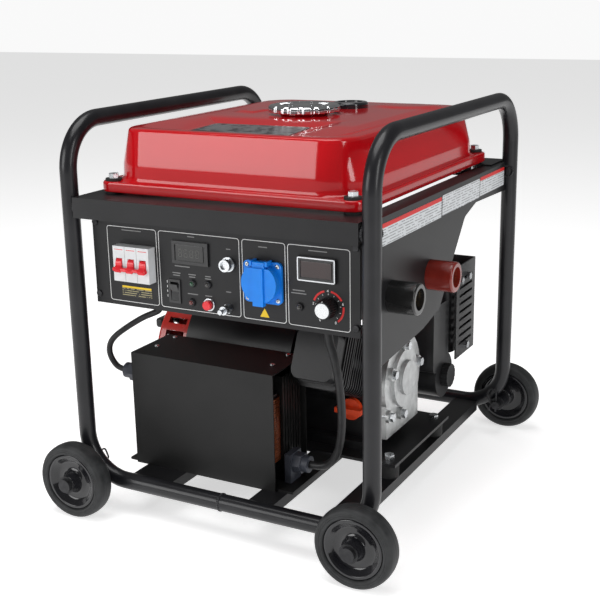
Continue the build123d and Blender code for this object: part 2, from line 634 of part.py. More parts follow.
# clear of the nose through the whole swing, and down at rest
with BuildPart() as breaker_toggle:
    lean = radians(LEVER_DROP)
    tie_y = LEVER_Y - TIE_OUT * cos(lean)
    tie_z = LEVER_Z - TIE_OUT * sin(lean)
    for pole in range(POLES):
        pole_x = BREAKER_X + (pole - (POLES - 1) / 2) * POLE_W
        lever_x = (pole_x - SLOT_HALF_W + CLEAR, pole_x + SLOT_HALF_W - CLEAR)
        cylinder_x(LEVER_Y, LEVER_Z, lever_x[0], lever_x[1], LEVER_R)
        lever_plane = Plane(origin=(lever_x[0], LEVER_Y, LEVER_Z), x_dir=(0, -cos(lean), -sin(lean)), z_dir=(1, 0, 0))
        with BuildSketch(lever_plane):
            with Locations((TIE_OUT / 2 + 1, 0)):
                Rectangle(TIE_OUT + 4, 5.0)
        extrude(amount=lever_x[1] - lever_x[0])
    tie_half = BREAKER_W / 2 - 2.5
    cylinder_x(tie_y, tie_z, BREAKER_X - tie_half, BREAKER_X + tie_half, TIE_R)
breaker_toggle.part.label = "breaker_toggle"
export_step(breaker_toggle.part, "parts/breaker_toggle.step")

# ---------------------------------------------------------------- meters, switch and lamps
for name, centre_x, centre_z, width, height, proud in (
    ("digital_meter", METER_X, METER_Z, METER_W, METER_H, 3.0),
    ("ammeter", AMMETER_X, AMMETER_Z, AMMETER_W, AMMETER_H, 4.0),
):
    with BuildPart() as meter:
        x_pair = (centre_x - width / 2, centre_x + width / 2)
        z_pair = (centre_z - height / 2, centre_z + height / 2)
        block(x_pair, (PANEL_Y - proud, PANEL_Y), z_pair)
        block((x_pair[0] + 2, x_pair[1] - 2), (PANEL_Y, PANEL_Y + 22), (z_pair[0] + 2, z_pair[1] - 2))
        window_x = (x_pair[0] + 4, x_pair[1] - 4)
        block(window_x, (PANEL_Y - proud, PANEL_Y - proud + 1), (z_pair[0] + 4, z_pair[1] - 4), mode=Mode.SUBTRACT)
    meter.part.label = name
    export_step(meter.part, f"parts/{name}.step")

SWITCH_WALL = 1.6
ROCKER_PIVOT_Y = PANEL_Y + 4
ROCKER_TILT = 9.0
with BuildPart() as rocker_housing:
    half_x = ROCKER_W / 2
    half_z = ROCKER_H / 2
    block((ROCKER_X - half_x, ROCKER_X + half_x), (PANEL_Y, PANEL_Y + 20), (ROCKER_Z - half_z, ROCKER_Z + half_z))
    lip_x = (ROCKER_X - half_x - 1, ROCKER_X + half_x + 1)
    block(lip_x, (PANEL_Y - 1.8, PANEL_Y), (ROCKER_Z - half_z - 1.5, ROCKER_Z + half_z + 1.5))
    hollow_x = (ROCKER_X - half_x + SWITCH_WALL, ROCKER_X + half_x - SWITCH_WALL)
    hollow_z = (ROCKER_Z - half_z + SWITCH_WALL, ROCKER_Z + half_z - SWITCH_WALL)
    block(hollow_x, (PANEL_Y - 2, PANEL_Y + 16), hollow_z, mode=Mode.SUBTRACT)
rocker_housing.part.label = "rocker_housing"
export_step(rocker_housing.part, "parts/rocker_housing.step")

with BuildPart() as rocker_switch:
    rock_x = (hollow_x[0] + CLEAR, hollow_x[1] - CLEAR)
    rock_half = (hollow_z[1] - hollow_z[0]) / 2 - 1.2
    tilt = radians(ROCKER_TILT)
    tilt_plane = Plane(
        origin=(rock_x[0], ROCKER_PIVOT_Y, ROCKER_Z), x_dir=(0, cos(tilt), sin(tilt)), z_dir=(1, 0, 0)
    )
    with BuildSketch(tilt_plane):
        with BuildLine():
            Polyline(
                (-7.4, rock_half), (-4.6, 0), (-7.4, -rock_half), (-1, -rock_half), (3, 0), (-1, rock_half), close=True
            )
        make_face()
    extrude(amount=rock_x[1] - rock_x[0])
rocker_switch.part.label = "rocker_switch"
export_step(rocker_switch.part, "parts/rocker_switch.step")

with BuildPart() as pilot_lamps:
    for lamp_x, lamp_z in LAMPS:
        cylinder_y(lamp_x, lamp_z, PANEL_Y, PANEL_Y + 12, 3.0)
        cylinder_y(lamp_x, lamp_z, PANEL_Y - 3, PANEL_Y, 3.8)
pilot_lamps.part.label = "pilot_lamps"
export_step(pilot_lamps.part, "parts/pilot_lamps.step")

BUTTON_TRAVEL = 2.0
with BuildPart() as reset_button:
    cylinder_y(RESET_X, RESET_Z, PANEL_Y - 7, PANEL_Y - BUTTON_TRAVEL - SEAT, 6.0)
    cylinder_y(RESET_X, RESET_Z, PANEL_Y - BUTTON_TRAVEL - SEAT, PANEL_Y + 9, RESET_R)
    fillet(reset_button.edges().group_by(Axis.Y)[0], 1.5)
reset_button.part.label = "reset_button"
export_step(reset_button.part, "parts/reset_button.step")

with BuildPart() as signal_connector:
    cylinder_y(CONNECTOR_X, CONNECTOR_Z, PANEL_Y, PANEL_Y + 16, 7.0)
    cylinder_y(CONNECTOR_X, CONNECTOR_Z, PANEL_Y - 2.5, PANEL_Y, 9.0)
    cylinder_y(CONNECTOR_X, CONNECTOR_Z, PANEL_Y - 11, PANEL_Y - 2.5, 7.4)
    cylinder_y(CONNECTOR_X, CONNECTOR_Z, PANEL_Y - 12, PANEL_Y - 8, 5.4, mode=Mode.SUBTRACT)
signal_connector.part.label = "signal_connector"
export_step(signal_connector.part, "parts/signal_connector.step")

# M6 earth stud with a fixing nut and a round clamping nut
STUD_R = 3.0
STUD_ROOT_R = 2.4           # root radius of an M6 thread, where the nuts sit
STUD_TIP_LEN = 6.0
STUD_TIP_Y = PANEL_Y - 21
CLAMP_NUT_Y = (PANEL_Y - 13.0, PANEL_Y - 5.0)
with BuildPart() as ground_terminal:
    cylinder_y(GROUND_X, GROUND_Z, STUD_TIP_Y, STUD_TIP_Y + STUD_TIP_LEN, STUD_R)
    cylinder_y(GROUND_X, GROUND_Z, STUD_TIP_Y + STUD_TIP_LEN, PANEL_Y + 12, STUD_ROOT_R)
    with BuildSketch(Plane.XZ.offset(-PANEL_Y)):
        with Locations((GROUND_X, GROUND_Z)):
            RegularPolygon(6.2, 6)
    extrude(amount=4)
    cylinder_y(GROUND_X, GROUND_Z, CLAMP_NUT_Y[0], CLAMP_NUT_Y[1], 5.4)
ground_terminal.part.label = "ground_terminal"
export_step(ground_terminal.part, "parts/ground_terminal.step")

# ---------------------------------------------------------------- earthed wall-type outlet
# Square flange, round well with two contact holes, and a sprung lid hinged over the well.
FLANGE_T = 4.0
COLLAR_R = 23.5
WELL_R = 19.5
COLLAR_Y = PANEL_Y - FLANGE_T - 5
LID_T = 4.5
LID_GAP = 0.5
LID_HINGE_Y = COLLAR_Y - 2.5
LID_HINGE_Z = SCHUKO_Z + COLLAR_R + 1.0
PIN_SPACING = 19.0
PIN_HOLE_R = 2.6
with BuildPart() as schuko_socket:
    with BuildSketch(Plane.XZ.offset(-PANEL_Y)):
        with Locations((SCHUKO_X, SCHUKO_Z)):
            RectangleRounded(SCHUKO_W, SCHUKO_W, 6)
    extrude(amount=FLANGE_T)
    cylinder_y(SCHUKO_X, SCHUKO_Z, COLLAR_Y, PANEL_Y, COLLAR_R)
    cylinder_y(SCHUKO_X, SCHUKO_Z, PANEL_Y, PANEL_Y + 34, SCHUKO_R)
    well_depth = 17.5
    cylinder_y(SCHUKO_X, SCHUKO_Z, COLLAR_Y - 1, COLLAR_Y + well_depth, WELL_R, mode=Mode.SUBTRACT)
    for pin in (-0.5, 0.5):
        pin_x = SCHUKO_X + pin * PIN_SPACING
        cylinder_y(pin_x, SCHUKO_Z, COLLAR_Y, COLLAR_Y + well_depth + 18, PIN_HOLE_R, mode=Mode.SUBTRACT)
    for ear in (-1, 1):
        ear_x = sorted((SCHUKO_X + ear * 9.0, SCHUKO_X + ear * 12.0))
        block(ear_x, (LID_HINGE_Y - 2.5, PANEL_Y - 1), (LID_HINGE_Z - 2.5, LID_HINGE_Z + 3))
    for ear in (-1, 1):
        ear_x = sorted((SCHUKO_X + ear * 8.5, SCHUKO_X + ear * 12.5))
        cylinder_x(LID_HINGE_Y, LID_HINGE_Z, ear_x[0], ear_x[1], 1.2 + FIT_GAP, mode=Mode.SUBTRACT)
schuko_socket.part.label = "schuko_socket"
export_step(schuko_socket.part, "parts/schuko_socket.step")

with BuildPart() as schuko_lid:
    lid_y = (COLLAR_Y - LID_GAP - LID_T, COLLAR_Y - LID_GAP)
    cylinder_y(SCHUKO_X, SCHUKO_Z, lid_y[0], lid_y[1], COLLAR_R)
    trim_z = (LID_HINGE_Z - 5.5, LID_HINGE_Z + 5)
    block((SCHUKO_X - COLLAR_R, SCHUKO_X + COLLAR_R), (lid_y[0] - 1, lid_y[1] + 1), trim_z, mode=Mode.SUBTRACT)
    block((SCHUKO_X - 7, SCHUKO_X + 7), (lid_y[0] - 2.5, lid_y[0]), (SCHUKO_Z - COLLAR_R - 3, SCHUKO_Z + COLLAR_R - 4))
    block((SCHUKO_X - 7, SCHUKO_X + 7), lid_y, (SCHUKO_Z - COLLAR_R - 3, SCHUKO_Z))
    block((SCHUKO_X - 8, SCHUKO_X + 8), lid_y, (SCHUKO_Z + 10, LID_HINGE_Z))
    cylinder_x(LID_HINGE_Y, LID_HINGE_Z, SCHUKO_X - 8, SCHUKO_X + 8, 2.4)
    cylinder_x(LID_HINGE_Y, LID_HINGE_Z, SCHUKO_X - 12, SCHUKO_X + 12, 1.2)
schuko_lid.part.label = "schuko_lid"
export_step(schuko_lid.part, "parts/schuko_lid.step")

# current control knob, its shaft through the panel
KNOB_R = 12.5
KNOB_H = 17.0
KNOB_RIBS = 18
with BuildPart() as current_knob:
    cylinder_y(KNOB_X, KNOB_Z, PANEL_Y - KNOB_H, PANEL_Y - CLEAR, KNOB_R)
    fillet(current_knob.edges().group_by(Axis.Y)[0], 1.5)
    with BuildSketch(Plane.XZ.offset(-PANEL_Y - 3)):
        with Locations((KNOB_X, KNOB_Z)):
            with PolarLocations(KNOB_R + 0.4, KNOB_RIBS):
                Circle(1.2)
    extrude(amount=KNOB_H, mode=Mode.SUBTRACT)
    cylinder_y(KNOB_X, KNOB_Z, PANEL_Y - CLEAR, PANEL_Y + 14, 3.0)
current_knob.part.label = "current_knob"
export_step(current_knob.part, "parts/current_knob.step")

# ---------------------------------------------------------------- welding sockets
SLEEVE_R = SOCKET_D / 2
INSERT_R = 10.0
MOUTH_R = 13.0
INSERT_TIP_X = SIDE_X + 27
BORE_LEN = 20.0
for name, socket_y, socket_z in (
    ("weld_socket_black", SOCKET_Y[0], SOCKET_Z[0]),
    ("weld_socket_red", SOCKET_Y[1], SOCKET_Z[1]),
):
    with BuildPart() as weld_socket:
        cylinder_x(socket_y, socket_z, SIDE_X, SIDE_X + SOCKET_LEN, SLEEVE_R)
        fillet(weld_socket.edges().group_by(Axis.X)[-1], 2.5)
        cylinder_x(socket_y, socket_z, SIDE_X - 12, SIDE_X, SLEEVE_HOLE_R)
        with BuildSketch(Plane.YZ.offset(SIDE_X - SHEET - 6)):
            with Locations((socket_y, socket_z)):
                RegularPolygon(20, 6)
        extrude(amount=6)
        cylinder_x(socket_y, socket_z, SIDE_X + 8, SIDE_X + 60, MOUTH_R, mode=Mode.SUBTRACT)
        cylinder_x(socket_y, socket_z, SIDE_X - 20, SIDE_X + 60, INSERT_R, mode=Mode.SUBTRACT)
    weld_socket.part.label = name
    export_step(weld_socket.part, f"parts/{name}.step")

with BuildPart() as socket_inserts:
    for socket_y, socket_z in zip(SOCKET_Y, SOCKET_Z):
        cylinder_x(socket_y, socket_z, SIDE_X - 18, INSERT_TIP_X, INSERT_R)
        cylinder_x(socket_y, socket_z, INSERT_TIP_X - BORE_LEN, INSERT_TIP_X + 1, INSERT_BORE_R, mode=Mode.SUBTRACT)
socket_inserts.part.label = "socket_inserts"
export_step(socket_inserts.part, "parts/socket_inserts.step")

# ---------------------------------------------------------------- inductor box
# Folded cover open to the right, with the wound core inside it.
COIL_SHEET = 1.5
FOOT_T = 3.0
FOOT_INSET = 4.0
LEFT_FOOT = 14.0
RIGHT_FOOT = 24.0
with BuildPart() as coil_box:
    block(COIL_BOX_X, COIL_BOX_Y, (COIL_BOX_Z[0], COIL_BOX_Z[1]))
    inner_y = (COIL_BOX_Y[0] + COIL_SHEET, COIL_BOX_Y[1] - COIL_SHEET)
    inner_z = (COIL_BOX_Z[0] + FOOT_T, COIL_BOX_Z[1] - COIL_SHEET)
    block((COIL_BOX_X[0] + COIL_SHEET, COIL_BOX_X[1] + 1), inner_y, inner_z, mode=Mode.SUBTRACT)
    foot_y = (COIL_BOX_Y[0] + FOOT_INSET, COIL_BOX_Y[1] - FOOT_INSET)
    block((COIL_BOX_X[0] - LEFT_FOOT, COIL_BOX_X[0]), foot_y, (RAIL_TOP, RAIL_TOP + FOOT_T))
    block((COIL_BOX_X[1], COIL_BOX_X[1] + RIGHT_FOOT), foot_y, (RAIL_TOP, RAIL_TOP + FOOT_T))
coil_box.part.label = "coil_box"
export_step(coil_box.part, "parts/coil_box.step")

CORE_X = (-96.0, 36.0)
CORE_Y = (-160.0, -108.0)
CORE_Z = (COIL_BOX_Z[0] + FOOT_T, 196.0)
PLATE_PITCH = 7.0
PLATE_THICK = 4.6
PLATE_REACH = 11.0          # the clamp strips stand this far out of the core's end
CORE_LEG = 6.0
PLATE_SEAT = 8.0
WIND_X = -20.0
WIND_W = 126.0
WIND_Z = (84.0, 176.0)
WIND_Y = (COIL_BOX_Y[0] + COIL_SHEET + 1, CORE_Y[0] - 1)
with BuildPart() as inductor_coil:
    block(CORE_X, (CORE_Y[0] + CORE_LEG, CORE_Y[1]), CORE_Z)
    plate_count = int((CORE_Y[1] - CORE_Y[0]) / PLATE_PITCH)
    for index in range(plate_count):
        y_plate = CORE_Y[0] + index * PLATE_PITCH
        block((CORE_X[1], CORE_X[1] + PLATE_REACH), (y_plate, y_plate + PLATE_THICK), CORE_Z)
    block((CORE_X[1] - PLATE_SEAT, CORE_X[1] + 1), CORE_Y, CORE_Z)
    with BuildSketch(Plane.XY.offset(WIND_Z[0])):
        with Locations((WIND_X, (WIND_Y[0] + WIND_Y[1]) / 2)):
            RectangleRounded(WIND_W, WIND_Y[1] - WIND_Y[0], 8)
    extrude(amount=WIND_Z[1] - WIND_Z[0])
inductor_coil.part.label = "inductor_coil"
export_step(inductor_coil.part, "parts/inductor_coil.step")

# ---------------------------------------------------------------- cable glands and leads
LEFT_LEAD_D = 8.0
RIGHT_LEAD_D = 10.5
GROMMET_WALL = 4.0
LEFT_GLAND = (COIL_BOX_X[0], -176.0, 176.0)
RIGHT_GLAND = (COIL_BOX_X[1] + 9.0, -150.0, 78.0)
NUT_LEN = 10.0
DOME_LEN = 9.0
LEAD_TOP_Z = BOX_Z[0] - 8.0
LEFT_TOP = (-119.0, -184.0)
RIGHT_TOP = (122.0, -177.0)
with BuildPart() as cable_glands:
    with BuildSketch(Plane.YZ.offset(LEFT_GLAND[0] - NUT_LEN)):
        with Locations(LEFT_GLAND[1:]):
            RegularPolygon(13, 6)
    extrude(amount=NUT_LEN)
    cylinder_x(LEFT_GLAND[1], LEFT_GLAND[2], LEFT_GLAND[0] - NUT_LEN - DOME_LEN, LEFT_GLAND[0] - NUT_LEN, 10.5)
    with BuildSketch(Plane.YZ.offset(RIGHT_GLAND[0])):
        with Locations(RIGHT_GLAND[1:]):
            RegularPolygon(14, 6)
    extrude(amount=NUT_LEN + 2)
    right_tip = RIGHT_GLAND[0] + NUT_LEN + 2
    cylinder_x(RIGHT_GLAND[1], RIGHT_GLAND[2], right_tip, right_tip + DOME_LEN, 11)
    block((COIL_BOX_X[1], RIGHT_GLAND[0]), (-164, -136), (RAIL_TOP + FOOT_T, RIGHT_GLAND[2] + 14))
    for (top_x, top_y), lead_d in ((LEFT_TOP, LEFT_LEAD_D), (RIGHT_TOP, RIGHT_LEAD_D)):
        cylinder_z(top_x, top_y, LEAD_TOP_Z, BOX_Z[0], lead_d / 2 + GROMMET_WALL)
cable_glands.part.label = "cable_glands"
export_step(cable_glands.part, "parts/cable_glands.step")


def bend_radii(route):
    """The largest tangent arc at each corner that its two runs allow."""
    radii = []
    for before, corner, after in zip(route, route[1:], route[2:]):
        run_in = Vector(*corner) - Vector(*before)
        run_out = Vector(*after) - Vector(*corner)
        turn = radians(run_in.get_angle(run_out))
        radii.append(0.45 * min(run_in.length, run_out.length) / tan(turn / 2))
    return radii


left_route = [
    (LEFT_GLAND[0] - NUT_LEN - DOME_LEN, LEFT_GLAND[1], LEFT_GLAND[2]),
    (-198, LEFT_GLAND[1], LEFT_GLAND[2]),
    (-208, -177, 185),
    (-213, -178, 198),
    (-210, -179, 212),
    (-198, -180, 225),
    (-175, -181, 241),
    (-149, -182, 257),
    (-131, -183, 265),
    (LEFT_TOP[0], LEFT_TOP[1], 271),
    (LEFT_TOP[0], LEFT_TOP[1], LEAD_TOP_Z),
]
right_route = [
    (right_tip + DOME_LEN, RIGHT_GLAND[1], RIGHT_GLAND[2]),
    (96, RIGHT_GLAND[1], RIGHT_GLAND[2]),
    (111, -151, 86),
    (122, -153, 104),
    (129, -157, 130),
    (133, -163, 162),
    (134, -170, 198),
    (131, -175, 234),
    (RIGHT_TOP[0], RIGHT_TOP[1], 262),
    (RIGHT_TOP[0], RIGHT_TOP[1], LEAD_TOP_Z),
]
for name, route, lead_d in (
    ("inductor_lead", left_route, LEFT_LEAD_D),
    ("output_lead", right_route, RIGHT_LEAD_D),
):
    radii = bend_radii(route)
    print(name, "radii", [round(radius, 1) for radius in radii])
    with BuildPart() as lead:
        with BuildLine() as lead_line:
            FilletPolyline(*route, radius=radii)
        with BuildSketch(Plane(origin=lead_line.line @ 0, z_dir=lead_line.line % 0)):
            Circle(lead_d / 2)
        sweep()
    lead_length = sum(edge.length for edge in lead_line.edges())
    tube_volume = pi * (lead_d / 2) ** 2 * lead_length
    print(name, "length", round(lead_length, 1), "volume ratio", round(lead.part.volume / tube_volume, 4))
    lead.part.label = name
    export_step(lead.part, f"parts/{name}.step")

# ---------------------------------------------------------------- engine
with BuildPart() as engine_plate:
    block((-176, 176), (-96, 96), (PLATE_Z, PLATE_TOP))
    for side, end in MOUNT_CORNERS:
        cylinder_z(MOUNT_X[side], end * MOUNT_Y, PLATE_Z - 1, PLATE_TOP + 1, BOLT_R + SEAT, mode=Mode.SUBTRACT)
engine_plate.part.label = "engine_plate"
export_step(engine_plate.part, "parts/engine_plate.step")

# crankcase and finned cylinder, one casting; the cylinder leans up to the front
OIL_X = 98.0
OIL_Z = 127.9
OIL_FACE_Y = -60.0          # back of the oil cap, just clear of the case
OIL_NECK_R = 12.0
OIL_NECK_ROOT_Y = -50.0
tilt = radians(CYL_TILT)
cyl_dir = (0, -cos(tilt), sin(tilt))
CYL_BORE_R = 25.0
BARREL_R = 30.5
FIN_HALF_X = 31.0
FIN_HALF = 41.0


def on_cylinder(distance):
    """The plane square to the cylinder's axis, this far from the crank."""
    origin = (CYL_X, CRANK_Y - distance * cos(tilt), CRANK_Z + distance * sin(tilt))
    return Plane(origin=origin, x_dir=(1, 0, 0), z_dir=cyl_dir)


with BuildPart() as engine_block:
    with BuildSketch(Plane.YZ.offset(CASE_X[0])):
        with Locations((CRANK_Y, CRANK_Z)):
            Circle(62)
        with Locations((CRANK_Y, (PLATE_TOP + CRANK_Z) / 2)):
            Rectangle(112, CRANK_Z - PLATE_TOP)
    extrude(amount=CASE_X[1] - CASE_X[0])
    block((CASE_X[0] - 2, CASE_X[1]), (-72, 72), (PLATE_TOP, PLATE_TOP + 12))
    cylinder_y(OIL_X, OIL_Z, OIL_FACE_Y + CLEAR, OIL_NECK_ROOT_Y, OIL_NECK_R)
    with BuildSketch(on_cylinder(30)):
        Circle(BARREL_R)
    extrude(amount=CYL_END - 30)
    fin_pitch = (CYL_END - FIN_T - CYL_START) / (FIN_COUNT - 1)
    for index in range(FIN_COUNT):
        with BuildSketch(on_cylinder(CYL_START + index * fin_pitch)):
            RectangleRounded(2 * FIN_HALF_X, 2 * FIN_HALF, 12)
        extrude(amount=FIN_T)
    with BuildSketch(on_cylinder(0)):
        Circle(CYL_BORE_R)
    extrude(amount=CYL_END + 1, mode=Mode.SUBTRACT)
    cylinder_x(CRANK_Y, CRANK_Z, CASE_X[0] + 8, CASE_X[1] + 1, 50, mode=Mode.SUBTRACT)
    cylinder_x(CRANK_Y, CRANK_Z, CASE_X[0] - 1, CASE_X[1], SHAFT_R + FIT_GAP, mode=Mode.SUBTRACT)
    for bolt_y, bolt_z in COVER_BOLTS:
        cylinder_x(bolt_y, bolt_z, CASE_X[1] - 9, CASE_X[1] + 1, 3 + SEAT, mode=Mode.SUBTRACT)
engine_block.part.label = "engine_block"
export_step(engine_block.part, "parts/engine_block.step")

HEAD_LEN = 30.0
ROCKER_COVER_LEN = 20.0
with BuildPart() as cylinder_head:
    with BuildSketch(on_cylinder(CYL_END)):
        RectangleRounded(2 * 29, 2 * 35, 8)
    extrude(amount=HEAD_LEN)
    for index in range(4):
        with BuildSketch(on_cylinder(CYL_END + 2 + index * 7)):
            RectangleRounded(2 * FIN_HALF_X, 2 * FIN_HALF, 12)
        extrude(amount=FIN_T)
    with BuildSketch(on_cylinder(CYL_END + HEAD_LEN)) as cover_base:
        RectangleRounded(2 * 29, 2 * 33, 12)
    extrude(cover_base.sketch, amount=ROCKER_COVER_LEN)
cylinder_head.part.label = "cylinder_head"
export_step(cylinder_head.part, "parts/cylinder_head.step")

# bare aluminium side cover with a bearing boss and a flange for its bolts
with BuildPart() as side_cover:
    with BuildSketch(Plane.YZ.offset(CASE_X[1])):
        with Locations((CRANK_Y, CRANK_Z)):
            Circle(60)
        with Locations((CRANK_Y, (PLATE_TOP + 14 + CRANK_Z) / 2)):
            Rectangle(108, CRANK_Z - PLATE_TOP - 14)
    extrude(amount=COVER_T - 5)
    with BuildSketch(Plane.YZ.offset(CASE_X[1] + COVER_T - 5)):
        with Locations((CRANK_Y, CRANK_Z)):
            Circle(40)
        for bolt_y, bolt_z in COVER_BOLTS:
            with Locations((bolt_y, bolt_z)):
                Circle(8.5)
    extrude(amount=5)
    cylinder_x(CRANK_Y, CRANK_Z, COVER_FACE_X, COVER_FACE_X + 5, 24)
    cylinder_x(CRANK_Y, CRANK_Z, CASE_X[1] - 1, CASE_X[1] + COVER_T - 10, 44, mode=Mode.SUBTRACT)
    for bolt_y, bolt_z in COVER_BOLTS:
        cylinder_x(bolt_y, bolt_z, CASE_X[1] - 1, COVER_FACE_X + 1, 3 + SEAT, mode=Mode.SUBTRACT)
side_cover.part.label = "side_cover"
export_step(side_cover.part, "parts/side_cover.step")

# blower housing round the flywheel, open at the starter end
HOUSING_WALL = 2.5
HEAD_NOTCH_R = 9.0          # room for a bolt head and a spanner, open at the housing's edge
HEAD_NOTCH_H = 9.0
with BuildPart() as blower_housing:
    with BuildSketch(Plane.YZ.offset(HOUSING_X[0])) as scroll:
        with Locations((CRANK_Y, CRANK_Z + 6)):
            Circle(HOUSING_R)
        with Locations((CRANK_Y, (PLATE_TOP + CRANK_Z) / 2)):
            Rectangle(2 * HOUSING_R - 8, CRANK_Z - PLATE_TOP)
        fillet(scroll.vertices().group_by(Axis.Z)[0], 12)
    extrude(scroll.sketch, amount=HOUSING_X[1] - HOUSING_X[0])
    hollow_r = HOUSING_R - 6
    cylinder_x(CRANK_Y, CRANK_Z + 2, HOUSING_X[0] - 1, HOUSING_X[1] - HOUSING_WALL, hollow_r - 3, mode=Mode.SUBTRACT)
    cylinder_x(CRANK_Y, CRANK_Z, HOUSING_X[0] - 1, HOUSING_X[1] + 1, SHAFT_R + 3, mode=Mode.SUBTRACT)
    for end in (-1, 1):
        notch_y = sorted((end * (MOUNT_Y - HEAD_NOTCH_R), end * (HOUSING_R + 1)))
        notch_x = (MOUNT_X[-1] - HEAD_NOTCH_R, MOUNT_X[-1] + HEAD_NOTCH_R)
        block(notch_x, notch_y, (PLATE_TOP - 1, PLATE_TOP + HEAD_NOTCH_H), mode=Mode.SUBTRACT)
blower_housing.part.label = "blower_housing"
export_step(blower_housing.part, "parts/blower_housing.step")

# red recoil starter cover: a deep dish with air slots round its rim and over its face
RECOIL_WALL = 2.5
SLOT_COUNT = 26
SLOT_W = 9.5
HANDLE_Y = CRANK_Y - 30.0
HANDLE_Z = CRANK_Z + 46.0
ROPE_EYE_R = 5.0
GRIP_HALF_Y = 30.0
GRIP_HALF_Z = 7.0
RECOIL_BACK_X = HOUSING_X[0]
with BuildPart() as recoil_cover:
    cylinder_x(CRANK_Y, CRANK_Z, RECOIL_X, RECOIL_BACK_X, RECOIL_R)
    fillet(recoil_cover.edges().group_by(Axis.X)[0], 5)
    cylinder_x(CRANK_Y, CRANK_Z, RECOIL_X + RECOIL_WALL, RECOIL_BACK_X + 1, RECOIL_R - RECOIL_WALL, mode=Mode.SUBTRACT)
    slot_x = (RECOIL_X + 13, RECOIL_BACK_X - 12)
    with Locations(Plane(origin=((slot_x[0] + slot_x[1]) / 2, CRANK_Y, CRANK_Z), x_dir=(0, 1, 0), z_dir=(1, 0, 0))):
        with PolarLocations(RECOIL_R - 1, SLOT_COUNT):
            Box(8, SLOT_W, slot_x[1] - slot_x[0], mode=Mode.SUBTRACT)
    with BuildSketch(Plane.YZ.offset(RECOIL_X - 1)):
        with Locations((CRANK_Y, CRANK_Z)):
            with PolarLocations(52, 14):
                SlotOverall(24, 6)
    extrude(amount=RECOIL_WALL + 2, mode=Mode.SUBTRACT)
    cylinder_x(HANDLE_Y, HANDLE_Z, RECOIL_X - 1, RECOIL_X + RECOIL_WALL + 1, ROPE_EYE_R + CLEAR, mode=Mode.SUBTRACT)
recoil_cover.part.label = "recoil_cover"
export_step(recoil_cover.part, "parts/recoil_cover.step")

with BuildPart() as recoil_handle:
    grip_x = (RECOIL_X - 15, RECOIL_X - 2)
    block(grip_x, (HANDLE_Y - GRIP_HALF_Y, HANDLE_Y + GRIP_HALF_Y), (HANDLE_Z - GRIP_HALF_Z, HANDLE_Z + GRIP_HALF_Z))
    fillet(recoil_handle.edges(), 4)
    cylinder_x(HANDLE_Y, HANDLE_Z, grip_x[1] - 2, RECOIL_X + 4, ROPE_EYE_R)
recoil_handle.part.label = "recoil_handle"
export_step(recoil_handle.part, "parts/recoil_handle.step")

# crankshaft with its web, and the permanent magnet flywheel with cooling vanes
ROTOR_R = 76.0
with BuildPart() as crank_and_rotor:
    cylinder_x(CRANK_Y, CRANK_Z, -112, -20, ROTOR_R)
    cylinder_x(CRANK_Y, CRANK_Z, -104, -19, ROTOR_R - 10, mode=Mode.SUBTRACT)
    cylinder_x(CRANK_Y, CRANK_Z, -112, -70, 24)
    with Locations(Plane(origin=(-123, CRANK_Y, CRANK_Z), x_dir=(0, 1, 0), z_dir=(1, 0, 0))):
        with PolarLocations(56, 16):
            Box(32, 3, 22)
    cylinder_x(CRANK_Y, CRANK_Z, -140, 112, SHAFT_R)
    cylinder_x(CRANK_Y, CRANK_Z, 62, 84, 40)
crank_and_rotor.part.label = "crank_and_rotor"
export_step(crank_and_rotor.part, "parts/crank_and_rotor.step")

# ---------------------------------------------------------------- air cleaner, muffler and oil filler
CLEANER_X = (112.0, 160.0)
CLEANER_Y = (74.0, 132.0)
CLEANER_Z = (140.0, 238.0)
COVER_Y = 116.0             # centre of the cleaner's round cover and of its knob
COVER_Z = 128.0
COVER_R = 33.0
CLEANER_STUD_R = 4.0
CLEANER_KNOB_R = 17.0
CLEANER_KNOB_T = 11.0
CLEANER_KNOB_RIBS = 14
with BuildPart() as air_cleaner:
    block(CLEANER_X, CLEANER_Y, CLEANER_Z)
    fillet(air_cleaner.edges().filter_by(Axis.X), 9)
    cylinder_x(COVER_Y, COVER_Z, CLEANER_X[0], CLEANER_X[1], COVER_R)
    stud_hole_r = CLEANER_STUD_R + SEAT
    cylinder_x(COVER_Y, COVER_Z, CLEANER_X[0] + 3, CLEANER_X[1] + 1, stud_hole_r, mode=Mode.SUBTRACT)
air_cleaner.part.label = "air_cleaner"
export_step(air_cleaner.part, "parts/air_cleaner.step")

with BuildPart() as air_cleaner_knob:
    knob_x = (CLEANER_X[1] + CLEAR, CLEANER_X[1] + CLEANER_KNOB_T)
    cylinder_x(COVER_Y, COVER_Z, knob_x[0], knob_x[1], CLEANER_KNOB_R)
    with BuildSketch(Plane.YZ.offset(knob_x[0] - 1)):
        with Locations((COVER_Y, COVER_Z)):
            with PolarLocations(CLEANER_KNOB_R + 0.5, CLEANER_KNOB_RIBS):
                Circle(1.6)
    extrude(amount=CLEANER_KNOB_T + 2, mode=Mode.SUBTRACT)
    cylinder_x(COVER_Y, COVER_Z, CLEANER_X[1] - 20, knob_x[0], CLEANER_STUD_R)
air_cleaner_knob.part.label = "air_cleaner_knob"
export_step(air_cleaner_knob.part, "parts/air_cleaner_knob.step")

